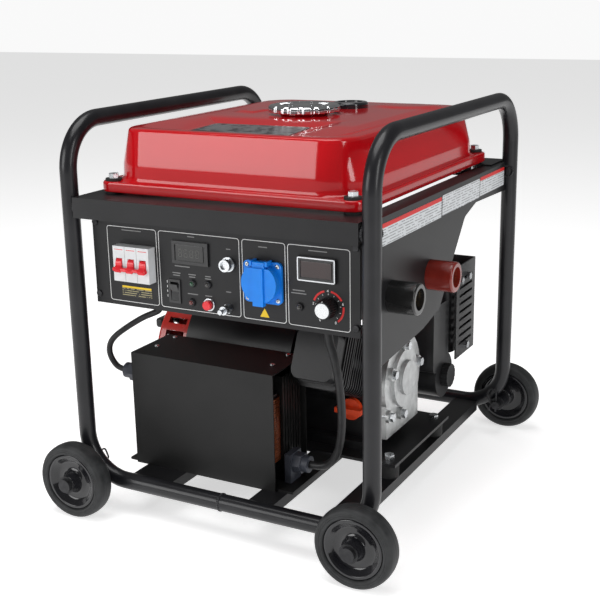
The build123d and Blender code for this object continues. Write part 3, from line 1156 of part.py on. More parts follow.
MUFFLER_X = (96.0, 160.0)
MUFFLER_Y = (140.0, 206.0)
MUFFLER_Z = (152.0, 272.0)
MUFFLER_CORNER_R = 14.0
TAIL_X = 112.0
TAIL_Z = 240.0
TAIL_R = 10.0
TAIL_LEN = 16.0
TAIL_WALL = 2.5
PORT_Z = (196.0, 216.0)
with BuildPart() as muffler:
    block(MUFFLER_X, MUFFLER_Y, MUFFLER_Z)
    fillet(muffler.edges().filter_by(Axis.Z), MUFFLER_CORNER_R)
    cylinder_y(TAIL_X, TAIL_Z, MUFFLER_Y[1], MUFFLER_Y[1] + TAIL_LEN, TAIL_R)
    cylinder_y(TAIL_X, TAIL_Z, MUFFLER_Y[1] - 1, MUFFLER_Y[1] + TAIL_LEN + 1, TAIL_R - TAIL_WALL, mode=Mode.SUBTRACT)
    port_x = (MUFFLER_X[0], CLEANER_X[0] - 2)
    block(port_x, (CRANK_Y + 62, MUFFLER_Y[0] + MUFFLER_CORNER_R + 4), PORT_Z)
muffler.part.label = "muffler"
export_step(muffler.part, "parts/muffler.step")

SHIELD_Y = (136.0, 212.0)
SHIELD_Z = (146.0, 284.0)
SHIELD_WRAP = 40.0
LOUVRES = 9
LOUVRE_PITCH = 12.0
LOUVRE_H = 4.0
with BuildPart() as muffler_shield:
    block((SHIELD_X - SHEET, SHIELD_X), SHIELD_Y, SHIELD_Z)
    block((SHIELD_X - SHIELD_WRAP, SHIELD_X), (SHIELD_Y[1] - SHEET, SHIELD_Y[1]), SHIELD_Z)
    louvre_y = (SHIELD_Y[0] + 12, SHIELD_Y[1] - 12)
    for louvre in range(LOUVRES):
        slot_z = SHIELD_Z[0] + 18 + louvre * LOUVRE_PITCH
        block((SHIELD_X - 6, SHIELD_X + 1), louvre_y, (slot_z, slot_z + LOUVRE_H), mode=Mode.SUBTRACT)
muffler_shield.part.label = "muffler_shield"
export_step(muffler_shield.part, "parts/muffler_shield.step")

OIL_CAP_R = 15.0
OIL_CAP_T = 7.0
OIL_WING = (19.0, 10.0, 3.5)    # half span, height above the disc and half thickness
with BuildPart() as oil_cap:
    cylinder_y(OIL_X, OIL_Z, OIL_FACE_Y - OIL_CAP_T, OIL_FACE_Y, OIL_CAP_R)
    wing_y = (OIL_FACE_Y - OIL_CAP_T - OIL_WING[1], OIL_FACE_Y - 1)
    block((OIL_X - OIL_WING[0], OIL_X + OIL_WING[0]), wing_y, (OIL_Z - OIL_WING[2], OIL_Z + OIL_WING[2]))
oil_cap.part.label = "oil_cap"
export_step(oil_cap.part, "parts/oil_cap.step")
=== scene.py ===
import bpy
import numpy as np
from mathutils import Matrix, Vector


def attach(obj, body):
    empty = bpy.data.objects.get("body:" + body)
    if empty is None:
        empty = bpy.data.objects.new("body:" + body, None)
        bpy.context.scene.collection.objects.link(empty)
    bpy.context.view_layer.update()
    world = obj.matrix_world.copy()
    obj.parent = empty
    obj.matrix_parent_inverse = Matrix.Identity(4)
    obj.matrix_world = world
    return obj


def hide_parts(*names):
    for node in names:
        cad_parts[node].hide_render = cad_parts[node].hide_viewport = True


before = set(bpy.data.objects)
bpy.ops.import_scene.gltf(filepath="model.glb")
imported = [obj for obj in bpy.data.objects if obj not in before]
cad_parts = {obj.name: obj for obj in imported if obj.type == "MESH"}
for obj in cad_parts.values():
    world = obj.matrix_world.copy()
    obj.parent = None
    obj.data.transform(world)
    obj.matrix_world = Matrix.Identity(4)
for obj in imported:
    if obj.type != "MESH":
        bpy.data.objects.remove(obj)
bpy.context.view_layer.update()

# ---------------------------------------------------------------- viewpoint
# The set is seen from its front right corner, a little above the tank, through a long lens.
view_azimuth, view_elevation, view_roll = np.radians((28.60, 15.79, -1.07))
back = Vector((
    np.sin(view_azimuth) * np.cos(view_elevation),
    -np.cos(view_azimuth) * np.cos(view_elevation),
    np.sin(view_elevation),
))
level_right = Vector((np.cos(view_azimuth), np.sin(view_azimuth), 0.0))
level_up = back.cross(level_right)
right = level_right * np.cos(view_roll) + level_up * np.sin(view_roll)
up = level_up * np.cos(view_roll) - level_right * np.sin(view_roll)
camera_data = bpy.data.cameras.new("camera")
camera_data.sensor_width = 36.0
camera_data.lens = 65.96
camera = bpy.data.objects.new("camera", camera_data)
bpy.context.scene.collection.objects.link(camera)
camera.matrix_world = Matrix((
    (right.x, up.x, back.x, 0.69923),
    (right.y, up.y, back.y, -1.30478),
    (right.z, up.z, back.z, 0.66989),
    (0.0, 0.0, 0.0, 1.0),
))
bpy.context.scene.camera = camera

# ---------------------------------------------------------------- studio
# A pale floor that runs out of sight, a white surround, and three large soft lamps. The left lamp is
# the broad pink sheen on the tank's front; the right one lights the side sheet and the sockets.
bpy.context.scene.view_settings.view_transform = "Standard"
floor_mesh = bpy.data.meshes.new("studio_floor")
floor_mesh.from_pydata([(-9, -9, 0), (9, -9, 0), (9, 9, 0), (-9, 9, 0)], [], [(0, 1, 2, 3)])
floor = bpy.data.objects.new("studio_floor", floor_mesh)
bpy.context.scene.collection.objects.link(floor)
floor_paint = bpy.data.materials.new("studio_floor")
floor_paint.use_nodes = True
floor_paint.node_tree.nodes["Principled BSDF"].inputs["Base Color"].default_value = (0.88, 0.88, 0.88, 1.0)
floor_paint.node_tree.nodes["Principled BSDF"].inputs["Roughness"].default_value = 0.7
floor_paint.node_tree.nodes["Principled BSDF"].inputs["Emission Color"].default_value = (1.0, 1.0, 1.0, 1.0)
floor_paint.node_tree.nodes["Principled BSDF"].inputs["Emission Strength"].default_value = 0.6
floor_mesh.materials.append(floor_paint)
world = bpy.data.worlds.new("studio")
bpy.context.scene.world = world
world.use_nodes = True
surround = world.node_tree.nodes["Background"]
surround.inputs["Color"].default_value = (1.0, 1.0, 1.0, 1.0)
ray = world.node_tree.nodes.new("ShaderNodeLightPath")
glow = world.node_tree.nodes.new("ShaderNodeMapRange")
glow.inputs["To Min"].default_value = 0.16
glow.inputs["To Max"].default_value = 0.95
world.node_tree.links.new(ray.outputs["Is Camera Ray"], glow.inputs["Value"])
world.node_tree.links.new(glow.outputs["Result"], surround.inputs["Strength"])
for lamp_name, spot, aim, width, height, power in (
    ("lamp_over", (-0.2, -0.3, 2.6), (0.0, 0.0, 0.3), 1.8, 1.8, 40.0),
    ("lamp_left", (-1.30, -2.05, 1.02), (0.0, -0.2, 0.48), 1.3, 1.2, 24.0),
    ("lamp_right", (2.2, -0.9, 1.2), (0.2, 0.0, 0.3), 0.5, 1.6, 18.0),
):
    lamp_data = bpy.data.lights.new(lamp_name, "AREA")
    lamp_data.shape = "RECTANGLE"
    lamp_data.size = width
    lamp_data.size_y = height
    lamp_data.energy = power
    lamp = bpy.data.objects.new(lamp_name, lamp_data)
    bpy.context.scene.collection.objects.link(lamp)
    lamp.location = spot
    lamp.rotation_euler = (Vector(aim) - Vector(spot)).to_track_quat("-Z", "Y").to_euler()

# ---------------------------------------------------------------- frame hoops
# Each side is one bent steel tube, 22 mm across, from the hand bar down both legs and half way along
# the bottom. It is powder coated semi-gloss black, which leaves a faint orange peel.


def finish(name, base, roughness, metallic=0.0, coat=0.0, patch=0.02, shade=0.12, wander=0.06, grain=0.0006, relief=0.00001):
    """A finish laid out on Object coordinates: the base colour drifts by shade over patches this long, the
    roughness wanders with it, and a finer grain lifts the surface by relief. Lengths are metres."""
    material = bpy.data.materials.new(name)
    material.use_nodes = True
    nodes, links = material.node_tree.nodes, material.node_tree.links
    shader = nodes["Principled BSDF"]
    shader.inputs["Metallic"].default_value = metallic
    shader.inputs["Coat Weight"].default_value = coat
    shader.inputs["Coat Roughness"].default_value = 0.06
    shader.inputs["Specular IOR Level"].default_value = 0.3
    where = nodes.new("ShaderNodeTexCoord")
    drift = nodes.new("ShaderNodeTexNoise")
    drift.inputs["Scale"].default_value = 1.0 / patch
    drift.inputs["Detail"].default_value = 5.0
    links.new(where.outputs["Object"], drift.inputs["Vector"])
    tone = nodes.new("ShaderNodeValToRGB")
    tone.name = "tone"
    tone.color_ramp.elements[0].position = 0.3
    tone.color_ramp.elements[1].position = 0.7
    tone.color_ramp.elements[0].color = (*(np.array(base) * (1.0 - shade)), 1.0)
    tone.color_ramp.elements[1].color = (*np.minimum(np.array(base) * (1.0 + shade) + 0.02 * shade, 1.0), 1.0)
    links.new(drift.outputs["Fac"], tone.inputs["Fac"])
    links.new(tone.outputs["Color"], shader.inputs["Base Color"])
    rough = nodes.new("ShaderNodeMapRange")
    rough.inputs["To Min"].default_value = max(roughness - wander, 0.02)
    rough.inputs["To Max"].default_value = min(roughness + wander, 1.0)
    links.new(drift.outputs["Fac"], rough.inputs["Value"])
    links.new(rough.outputs["Result"], shader.inputs["Roughness"])
    fine = nodes.new("ShaderNodeTexNoise")
    fine.inputs["Scale"].default_value = 1.0 / grain
    fine.inputs["Detail"].default_value = 2.0
    links.new(where.outputs["Object"], fine.inputs["Vector"])
    bump = nodes.new("ShaderNodeBump")
    bump.name = "bump"
    bump.inputs["Distance"].default_value = relief
    links.new(fine.outputs["Fac"], bump.inputs["Height"])
    links.new(bump.outputs["Normal"], shader.inputs["Normal"])
    return material


def dress(material, *names):
    """These CAD nodes wear the material."""
    for name in names:
        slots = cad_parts[name].data.materials
        slots.clear()
        slots.append(material)


powder_coat = finish("powder_coat", (0.007, 0.007, 0.009), 0.33, coat=0.15, patch=0.05, shade=0.25, grain=0.0012, relief=0.00003)
dress(powder_coat, "frame_tube_left", "frame_tube_right")


def skin(rings, loop=False):
    """A closed surface through a stack of closed rings, given as an array (rings, points, 3): quads join
    neighbouring rings, and a fan to the ring's mean closes each end unless the stack is a loop. The faces
    are turned outwards by the sign of the volume that they enclose."""
    rings = np.asarray(rings, float)
    count, around = rings.shape[:2]
    points = rings.reshape(-1, 3)
    span = count if loop else count - 1
    row, column = np.meshgrid(np.arange(span), np.arange(around), indexing="ij")
    near, far = row * around, (row + 1) % count * around
    step = (column + 1) % around
    quads = np.stack((near + column, near + step, far + step, far + column), axis=-1).reshape(-1, 4)
    faces = quads.tolist()
    if not loop:
        points = np.vstack((points, rings[0].mean(0), rings[-1].mean(0)))
        edge = np.arange(around)
        first = np.stack((np.roll(edge, -1), edge, np.full(around, count * around)), axis=-1)
        last = np.stack((edge, np.roll(edge, -1), np.full(around, count * around + 1)), axis=-1)
        last[:, :2] += (count - 1) * around
        faces += first.tolist() + last.tolist()
    corners = points[quads]
    volume = np.einsum("ij,ij->i", corners[:, 0], np.cross(corners[:, 1], corners[:, 2])).sum()
    volume += np.einsum("ij,ij->i", corners[:, 0], np.cross(corners[:, 2], corners[:, 3])).sum()
    if not loop:
        for fan in (first, last):
            corners = points[fan]
            volume += np.einsum("ij,ij->i", corners[:, 0], np.cross(corners[:, 1], corners[:, 2])).sum()
    if volume < 0:
        faces = [face[::-1] for face in faces]
    return points, faces


def gather(shapes):
    """Several (points, faces) shapes as one, their faces renumbered."""
    points, faces, start = [], [], 0
    for shape_points, shape_faces in shapes:
        points.append(shape_points)
        faces += [[start + corner for corner in face] for face in shape_faces]
        start += len(shape_points)
    return np.vstack(points), faces


def piece(name, shape, material, body="frame", sharp=32.0):
    """A mesh object in place, shaded smooth but for edges that turn by more than sharp degrees, which
    wears the material and rides on the body."""
    points, faces = shape
    mesh = bpy.data.meshes.new(name)
    mesh.from_pydata(points.tolist(), [], faces)
    mesh.polygons.foreach_set("use_smooth", np.ones(len(mesh.polygons), bool))
    mesh.set_sharp_from_angle(angle=np.radians(sharp))
    mesh.materials.append(material)
    made = bpy.data.objects.new(name, mesh)
    bpy.context.scene.collection.objects.link(made)
    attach(made, body)
    return made


def carry(outline, path, loop=False, across=None):
    """A closed outline of (side, rise) pairs carried square to a path of points. The rise follows across,
    or a direction square to the path where none is given, and the side follows the cross product."""
    path, outline = np.asarray(path, float), np.asarray(outline, float)
    ahead = np.roll(path, -1, 0) - np.roll(path, 1, 0)
    if not loop:
        ahead[0], ahead[-1] = path[1] - path[0], path[-1] - path[-2]
    ahead /= np.linalg.norm(ahead, axis=1)[:, None]
    if across is None:
        across = (0.0, 0.0, 1.0) if np.abs(ahead[:, 2]).max() < 0.9 else (0.31, 0.95, 0.0)
    side = np.cross(ahead, across)
    side /= np.linalg.norm(side, axis=1)[:, None]
    rise = np.cross(side, ahead)
    rings = path[:, None] + outline[None, :, :1] * side[:, None] + outline[None, :, 1:] * rise[:, None]
    return skin(rings, loop)


# Weld beads: a rippled fillet round each place where a rail, a beam or the bottom seam meets a tube.
TUBE_R = 0.011
LEG_X, LEG_Y = 0.209, 0.239


def bead(centre, axis, radius, size, start=0.0, turn=2 * np.pi):
    """A weld bead on a round bar: a ring of the radius about the axis, its section swelling and shrinking
    along the arc in ripples, one for every 2.2 mm."""
    steps = 220
    closed = turn > 6.28
    angle = start + turn * np.arange(steps) / (steps if closed else steps - 1)
    swell = size * (1.0 + 0.16 * np.sin(angle * radius / 0.00035) + 0.07 * np.sin(7 * angle))
    around = np.linspace(0, 2 * np.pi, 10, endpoint=False)
    axis = np.array(axis, float)
    first = np.cross(axis, (0.0, 0.0, 1.0) if abs(axis[2]) < 0.9 else (1.0, 0.0, 0.0))
    second = np.cross(axis, first)
    outward = np.cos(angle)[:, None] * first + np.sin(angle)[:, None] * second
    reach = radius + swell[:, None] * np.cos(around)[None]
    along = swell[:, None] * np.sin(around)[None] * 1.5
    rings = np.array(centre) + reach[:, :, None] * outward[:, None] + along[:, :, None] * axis
    return skin(rings, loop=closed)


beads = []
for end in (-1, 1):
    beads.append(bead((0, end * LEG_Y, 0.0465), (1, 0, 0), TUBE_R - 0.0004, 0.0013))
    for hand in (-1, 1):
        beads.append(bead((hand * (LEG_X - TUBE_R * 0.93), end * LEG_Y, 0.412), (hand, 0, 0), 0.0085, 0.0016))
        beads.append(bead((hand * LEG_X, end * (LEG_Y - TUBE_R * 0.9), 0.411), (0, end, 0), 0.0075, 0.0015))
        beads.append(bead((hand * 0.205, end * (LEG_Y - 0.0085), 0.051), (0, end, 0), 0.0096, 0.0012))
piece("weld_beads", gather(beads), powder_coat)

# ---------------------------------------------------------------- base rails, beams and side sheets
# Folded sheet steel: three channels under the engine, a beam across the front and back, a rail down
# the left and a shaped panel down the right. All are coated satin black before they are fitted.
sheet_coat = finish("sheet_coat", (0.008, 0.008, 0.009), 0.42, coat=0.0, patch=0.08, shade=0.18, grain=0.0010, relief=0.00002)
dress(sheet_coat, "base_rails", "front_top_beam", "rear_top_beam", "left_side_rail", "right_side_panel", "engine_plate")

# ---------------------------------------------------------------- axles, clips, bolts and mounts
# Bright zinc on the bolts, black oxide on the axles, washers and clips, soft black rubber under the feet.
axle_black = finish("axle_black", (0.03, 0.03, 0.032), 0.38, metallic=0.6, patch=0.006, shade=0.3, grain=0.0004, relief=0.00002)
zinc = finish("zinc_plate", (0.62, 0.64, 0.66), 0.28, metallic=1.0, patch=0.004, shade=0.15, wander=0.1, grain=0.0004, relief=0.00001)
mount_rubber = finish("mount_rubber", (0.02, 0.02, 0.02), 0.75, patch=0.01, shade=0.2, grain=0.0008, relief=0.00005)
dress(axle_black, "wheel_axles", "axle_fixings")
dress(zinc, "machine_bolts")
dress(mount_rubber, "rubber_mounts")

# ---------------------------------------------------------------- wheels
# A solid rubber tyre moulded on a glossy pressed disc with a plain hub. The sidewall has two fine
# moulded rings and the tread a parting line; the disc is dished between hub and tyre on both sides.


def turned(profile, centre, axis=(0.0, 1.0, 0.0), steps=96, loop=False, lobes=None):
    """A surface of revolution: (along, radius) pairs swung round the axis through the centre. lobes, a
    function of (angle, along, radius), may push each point in or out."""
    axis = np.array(axis, float)
    first = np.array((0.0, 0.0, 1.0)) if abs(axis[2]) < 0.9 else np.array((1.0, 0.0, 0.0))
    second = np.cross(axis, first)
    profile = np.asarray(profile, float)
    angle = np.linspace(0, 2 * np.pi, steps, endpoint=False)[None, :]
    along, radius = profile[:, :1], profile[:, 1:]
    if lobes is not None:
        radius = lobes(angle, along, radius)
    radius = np.broadcast_to(radius, (len(profile), steps))
    outward = np.cos(angle)[..., None] * first + np.sin(angle)[..., None] * second
    rings = np.array(centre) + along[..., None] * axis + radius[..., None] * outward
    return skin(rings, loop)


def eased(corners, reach, loop=False, steps=4):
    """A profile with each corner rounded: the corner becomes a curve from a point reach before it to one
    reach after it, or less where a side is short. Corners may carry any number of values."""
    corners = np.asarray(corners, float)
    before, after = np.roll(corners, 1, 0) - corners, np.roll(corners, -1, 0) - corners
    t = np.linspace(0, 1, steps)[None, :, None]
    starts = corners + before * np.minimum(reach / (np.linalg.norm(before, axis=1) + 1e-9), 0.45)[:, None]
    ends = corners + after * np.minimum(reach / (np.linalg.norm(after, axis=1) + 1e-9), 0.45)[:, None]
    arcs = (1 - t) ** 2 * starts[:, None] + 2 * t * (1 - t) * corners[:, None] + t**2 * ends[:, None]
    if loop:
        return arcs.reshape(-1, corners.shape[1])
    return np.vstack((corners[:1], arcs[1:-1].reshape(-1, corners.shape[1]), corners[-1:]))


tyre_rubber = finish("tyre_rubber", (0.022, 0.023, 0.024), 0.55, patch=0.012, shade=0.3, wander=0.09, grain=0.0009, relief=0.00004)
disc_gloss = finish("disc_gloss", (0.008, 0.008, 0.010), 0.16, coat=0.5, patch=0.03, shade=0.2, grain=0.002, relief=0.000015)
WHEEL_X, WHEEL_R = 0.205, 0.051
TYRE_MID_Y = 0.2737
for corner, hand, end in (("front_left", -1, -1), ("front_right", 1, -1), ("rear_left", -1, 1), ("rear_right", 1, 1)):
    centre = (hand * WHEEL_X, end * TYRE_MID_Y, WHEEL_R)
    outside = (0.0, float(end), 0.0)
    half = [
        (-0.0112, 0.0381), (-0.0131, 0.0398), (-0.0134, 0.0420), (-0.0129, 0.0423), (-0.0129, 0.0427),
        (-0.0134, 0.0430), (-0.0134, 0.0444), (-0.0130, 0.0447), (-0.0130, 0.0451), (-0.0133, 0.0454),
        (-0.0124, 0.0478), (-0.0094, 0.0499), (-0.0050, 0.0507), (-0.0008, 0.05085), (-0.0004, 0.0510),
    ]
    mirrored = [(-along, radius) for along, radius in half[::-1]]
    tyre_profile = eased(half + mirrored, 0.0007, loop=True, steps=3)
    tyre = piece(f"tyre_{corner}_moulded", turned(tyre_profile, centre, outside, 120, loop=True), tyre_rubber, f"wheel_{corner}")
    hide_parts(f"tyre_{corner}")
    rim_profile = eased([
        (-0.0191, 0.0062), (-0.0191, 0.0130), (-0.0048, 0.0134), (-0.0036, 0.0170), (-0.0034, 0.0262),
        (-0.0100, 0.0318), (-0.0116, 0.0338), (-0.0113, 0.0379), (0.0113, 0.0379), (0.0116, 0.0338),
        (0.0104, 0.0326), (0.0036, 0.0262), (0.0034, 0.0185), (0.0056, 0.0138), (0.0186, 0.0108), (0.0194, 0.0100),
        (0.0194, 0.0062),
    ], 0.0022, loop=True, steps=5)
    rim = piece(f"rim_{corner}_disc", turned(rim_profile, centre, outside, 96, loop=True), disc_gloss, f"wheel_{corner}", sharp=50)
    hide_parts(f"rim_{corner}")

# ---------------------------------------------------------------- fuel tank
# Deep-drawn steel in glossy red enamel: a rolled rim, an upright band, sides that lean in to a crisp
# shoulder, and a low top with a sunk label panel in front of the filler neck.


def round_rectangle(half_x, half_y, corner, per_corner=16, per_side=12):
    """A closed outline: four straight sides joined by quarter circles, each side and each corner with its
    own share of points, so that outlines of different sizes match point for point."""
    half_x, half_y, corner = (np.asarray(value, float)[..., None] for value in (half_x, half_y, corner))
    swing = np.linspace(0, np.pi / 2, per_corner)
    xs, ys = [], []
    for quarter, (sign_x, sign_y) in enumerate(((1, 1), (-1, 1), (-1, -1), (1, -1))):
        turn = swing + quarter * np.pi / 2
        xs.append(sign_x * (half_x - corner) + corner * np.cos(turn))
        ys.append(sign_y * (half_y - corner) + corner * np.sin(turn))
    rows_x, rows_y = [], []
    share = np.linspace(0, 1, per_side + 2)[1:-1]
    for quarter in range(4):
        following = (quarter + 1) % 4
        rows_x += [xs[quarter], xs[quarter][..., -1:] * (1 - share) + xs[following][..., :1] * share]
        rows_y += [ys[quarter], ys[quarter][..., -1:] * (1 - share) + ys[following][..., :1] * share]
    return np.stack((np.concatenate(rows_x, -1), np.concatenate(rows_y, -1)), axis=-1)


SHOULDER_X, SHOULDER_Y, SHOULDER_Z = 0.160, 0.200, 0.506
NECK_X, NECK_Y, NECK_R = 0.006, -0.012, 0.031
TOP_Z = 0.511
LABEL_CORNERS = ((-0.0635, -0.1955), (0.0795, -0.1945), (0.0665, -0.1020), (-0.0730, -0.1040))


def outside_of(polygon, x, y):
    """The greatest distance past any side of a convex anticlockwise polygon, negative inside."""
    corners = np.array(polygon)
    distance = np.full(np.shape(x), -np.inf)
    for start, stop in zip(corners, np.roll(corners, -1, 0)):
        side = (stop - start) / np.linalg.norm(stop - start)
        distance = np.maximum(distance, (x - start[0]) * side[1] - (y - start[1]) * side[0])
    return distance


def tank_top(x, y):
    """Height of the pressed top: a low roof that falls to the shoulder at its edges, a soft hump at the rear
    right, and the label panel sunk to a level floor with walls that rise one in five around it."""
    fall = np.maximum((np.abs(x) - 0.128) / 0.032, (np.abs(y) - 0.116) / 0.084)
    fall = 0.5 * (fall + np.sqrt(fall**2 + 0.004))
    roof = TOP_Z - (TOP_Z - SHOULDER_Z) * np.minimum(fall, 1.0)
    hump = 0.5 - 0.5 * np.tanh((np.hypot((x - 0.096) / 1.1, y - 0.128) - 0.040) / 0.006)
    wedge = 0.5 - 0.5 * np.tanh((outside_of(((-0.098, -0.020), (-0.062, -0.030), (-0.056, 0.012), (-0.090, 0.034)), x, y) + 0.003) / 0.003)
    roof = roof + 0.0024 * hump + 0.0022 * wedge
    sunk = 0.5056 + 0.2 * np.maximum(outside_of(LABEL_CORNERS, x, y) - 0.002, 0.0)
    blend = 0.0009
    return -blend * np.log(np.exp(-roof / blend + 500) + np.exp(-sunk / blend + 500)) + blend * 500


levels = eased([
    (0.1830, 0.2130, 0.018, 0.4380), (0.1830, 0.2130, 0.018, 0.4282), (0.1850, 0.2150, 0.020, 0.4282),
    (0.1850, 0.2150, 0.020, 0.4410), (0.1778, 0.2078, 0.045, 0.4404), (0.1760, 0.2060, 0.055, 0.4440),
    (0.1755, 0.2056, 0.055, 0.4600), (SHOULDER_X, SHOULDER_Y, 0.038, SHOULDER_Z), (0.1500, 0.1900, 0.036, 0.5072),
], 0.0045, steps=5)
levels = np.vstack((levels[:-1], levels[-1:]))
wall = round_rectangle(levels[:, 0], levels[:, 1], levels[:, 2], per_corner=22, per_side=30)
wall = np.concatenate((wall, np.broadcast_to(levels[:, 3][:, None, None], wall.shape[:2] + (1,))), axis=-1)
edge_ring = wall[-1, :, :2]
away = edge_ring - (NECK_X, NECK_Y)
away /= np.linalg.norm(away, axis=1)[:, None]
neck_foot = np.array((NECK_X, NECK_Y)) + away * (NECK_R + 0.0025)
share = np.linspace(0, 1, 110)[1:, None, None]
top_xy = edge_ring[None] * (1 - share) + neck_foot[None] * share
settle = np.clip(share[..., 0] / 0.06, 0, 1)
top_z = (1 - settle) * levels[-1, 3] + settle * tank_top(top_xy[..., 0], top_xy[..., 1])
top = np.concatenate((top_xy, top_z[..., None]), axis=-1)
neck_profile = eased([(NECK_R + 0.0012, 0.5110), (NECK_R, 0.5120), (NECK_R, 0.5139), (0.0272, 0.5139), (0.0270, 0.4990)], 0.0006)
neck_xy = np.array((NECK_X, NECK_Y)) + away[None] * neck_profile[:, :1, None]
neck = np.concatenate((neck_xy, np.broadcast_to(neck_profile[:, 1:, None], neck_xy.shape[:2] + (1,))), axis=-1)
enamel = finish("red_enamel", (0.50, 0.004, 0.008), 0.12, coat=0.35, patch=0.12, shade=0.06, wander=0.03, grain=0.004, relief=0.000003)
tank = piece("tank_shell", skin(np.vstack((wall, top, neck))), enamel, sharp=60)
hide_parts("fuel_tank")


def slab(outline, low, high, lay, round_off=0.0003):
    """A thin plate: its flat outline of (u, v) points stands from low to high, with the top edge rounded
    off, and lay turns (u, v, height) into a place on the object."""
    outline = np.asarray(outline, float)
    ahead = np.roll(outline, -1, 0) - np.roll(outline, 1, 0)
    inward = np.stack((-ahead[:, 1], ahead[:, 0]), axis=-1) / np.linalg.norm(ahead, axis=1)[:, None]
    if (np.roll(outline, -1, 0)[:, 0] * outline[:, 1] - outline[:, 0] * np.roll(outline, -1, 0)[:, 1]).sum() > 0:
        inward = -inward
    round_off = min(round_off, (high - low) * 0.8)
    rings = []
    for height, inset in ((low, 0.0), (high - round_off, 0.0), (high - 0.3 * round_off, 0.3 * round_off), (high, round_off), (high, 2 * round_off)):
        flat = outline + inward * inset
        rings.append(lay(flat[:, 0], flat[:, 1], np.full(len(flat), height)))
    return skin(np.array(rings))


def rounded_polygon(corners, reach, steps=7):
    """A closed outline through the corners, each one rounded."""
    return eased(corners, reach, loop=True, steps=steps)


def on_tank_floor(u, v, height):
    return np.stack((u, v, 0.5056 + height), axis=-1)


# The rating label in the sunk panel is a plain dark grey film with rows of fine pale rules.
def ruled_film(name, base, mark, row_axis, pitch, fill, seed_scale, roughness=0.35):
    """A printed film: rules of the mark colour cross the base along one Object axis, one row every pitch,
    broken into uneven runs by a coarse noise so that they read as plain rows of print."""
    material = finish(name, base, roughness, patch=0.03, shade=0.05, wander=0.04)
    nodes, links = material.node_tree.nodes, material.node_tree.links
    shader = nodes["Principled BSDF"]
    where = nodes.new("ShaderNodeTexCoord")
    split = nodes.new("ShaderNodeSeparateXYZ")
    links.new(where.outputs["Object"], split.inputs["Vector"])
    rows = nodes.new("ShaderNodeMath")
    rows.operation = "PINGPONG"
    rows.inputs[1].default_value = pitch / 2
    links.new(split.outputs[row_axis], rows.inputs[0])
    ruled = nodes.new("ShaderNodeMath")
    ruled.operation = "LESS_THAN"
    ruled.inputs[1].default_value = pitch / 2 * fill
    links.new(rows.outputs[0], ruled.inputs[0])
    runs = nodes.new("ShaderNodeTexNoise")
    runs.inputs["Scale"].default_value = seed_scale
    runs.inputs["Detail"].default_value = 1.0
    links.new(where.outputs["Object"], runs.inputs["Vector"])
    broken = nodes.new("ShaderNodeMath")
    broken.operation = "GREATER_THAN"
    broken.inputs[1].default_value = 0.44
    links.new(runs.outputs["Fac"], broken.inputs[0])
    shown = nodes.new("ShaderNodeMath")
    shown.operation = "MULTIPLY"
    links.new(ruled.outputs[0], shown.inputs[0])
    links.new(broken.outputs[0], shown.inputs[1])
    printed = nodes.new("ShaderNodeMix")
    printed.data_type = "RGBA"
    printed.name = "printed"
    printed.inputs[7].default_value = (*mark, 1.0)
    links.new(shown.outputs[0], printed.inputs[0])
    links.new(nodes["tone"].outputs["Color"], printed.inputs[6])
    links.new(printed.outputs[2], shader.inputs["Base Color"])
    return material


rating_film = ruled_film("rating_film", (0.035, 0.035, 0.038), (0.30, 0.30, 0.31), "Y", 0.0062, 0.35, 90.0)
label_outline = rounded_polygon([(x * 0.97 + 0.0001, (y + 0.15) * 0.95 - 0.15) for x, y in LABEL_CORNERS], 0.006)
rating_label = piece("rating_label", slab(label_outline, -0.0004, 0.0005, on_tank_floor), rating_film)

# ---------------------------------------------------------------- filler cap and gauge
# A pressed cap, chromed, with a scalloped grip edge and a raised ring on top; beside it a float gauge
# under a glossy black bezel.
chrome = finish("chrome", (0.72, 0.73, 0.75), 0.08, metallic=1.0, patch=0.01, shade=0.08, wander=0.04, grain=0.0015, relief=0.000008)
cap_profile = eased([
    (0.5146, 0.0440), (0.5146, 0.0462), (0.5150, 0.0474), (0.5218, 0.0474), (0.5236, 0.0450), (0.5242, 0.0402),
    (0.5238, 0.0390), (0.5238, 0.0345), (0.5246, 0.0330), (0.5250, 0.0250), (0.5246, 0.0180), (0.5238, 0.0165),
    (0.5240, 0.0080), (0.5241, 0.0004),
], 0.0012, steps=5)


def cap_lobes(angle, along, radius):
    """Sixteen finger scallops in the outer wall, fading towards the top."""
    scallop = 0.0021 * np.clip(np.cos(16 * angle) * 1.6 - 0.3, 0, 1) * np.clip((radius - 0.043) / 0.003, 0, 1)
    return radius - scallop


cap = piece("cap_shell", turned(cap_profile, (NECK_X, NECK_Y, 0.0), (0.0, 0.0, 1.0), 256, lobes=cap_lobes), chrome, "filler_cap", sharp=45)
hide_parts("filler_cap")
flutes = []
for index in range(40):
    turn = 2 * np.pi * index / 40
    reach = np.linspace(0.0192, 0.0322, 7)
    path = np.stack((NECK_X + reach * np.cos(turn), NECK_Y + reach * np.sin(turn), 0.52495 - 14.0 * (reach - 0.0257) ** 2), axis=-1)
    bar = [(0.0008 * np.cos(a), 0.00045 * np.sin(a)) for a in np.linspace(0, 2 * np.pi, 8, endpoint=False)]
    flutes.append(carry(bar, path))
cap_flutes = piece("cap_flutes", gather(flutes), chrome, "filler_cap")
core_plastic = finish("core_plastic", (0.03, 0.03, 0.03), 0.5, patch=0.01)
dress(core_plastic, "filler_cap_core")
gauge_gloss = finish("gauge_gloss", (0.012, 0.014, 0.018), 0.12, coat=0.8, patch=0.02, shade=0.2, grain=0.003, relief=0.00001)
dress(gauge_gloss, "fuel_gauge")

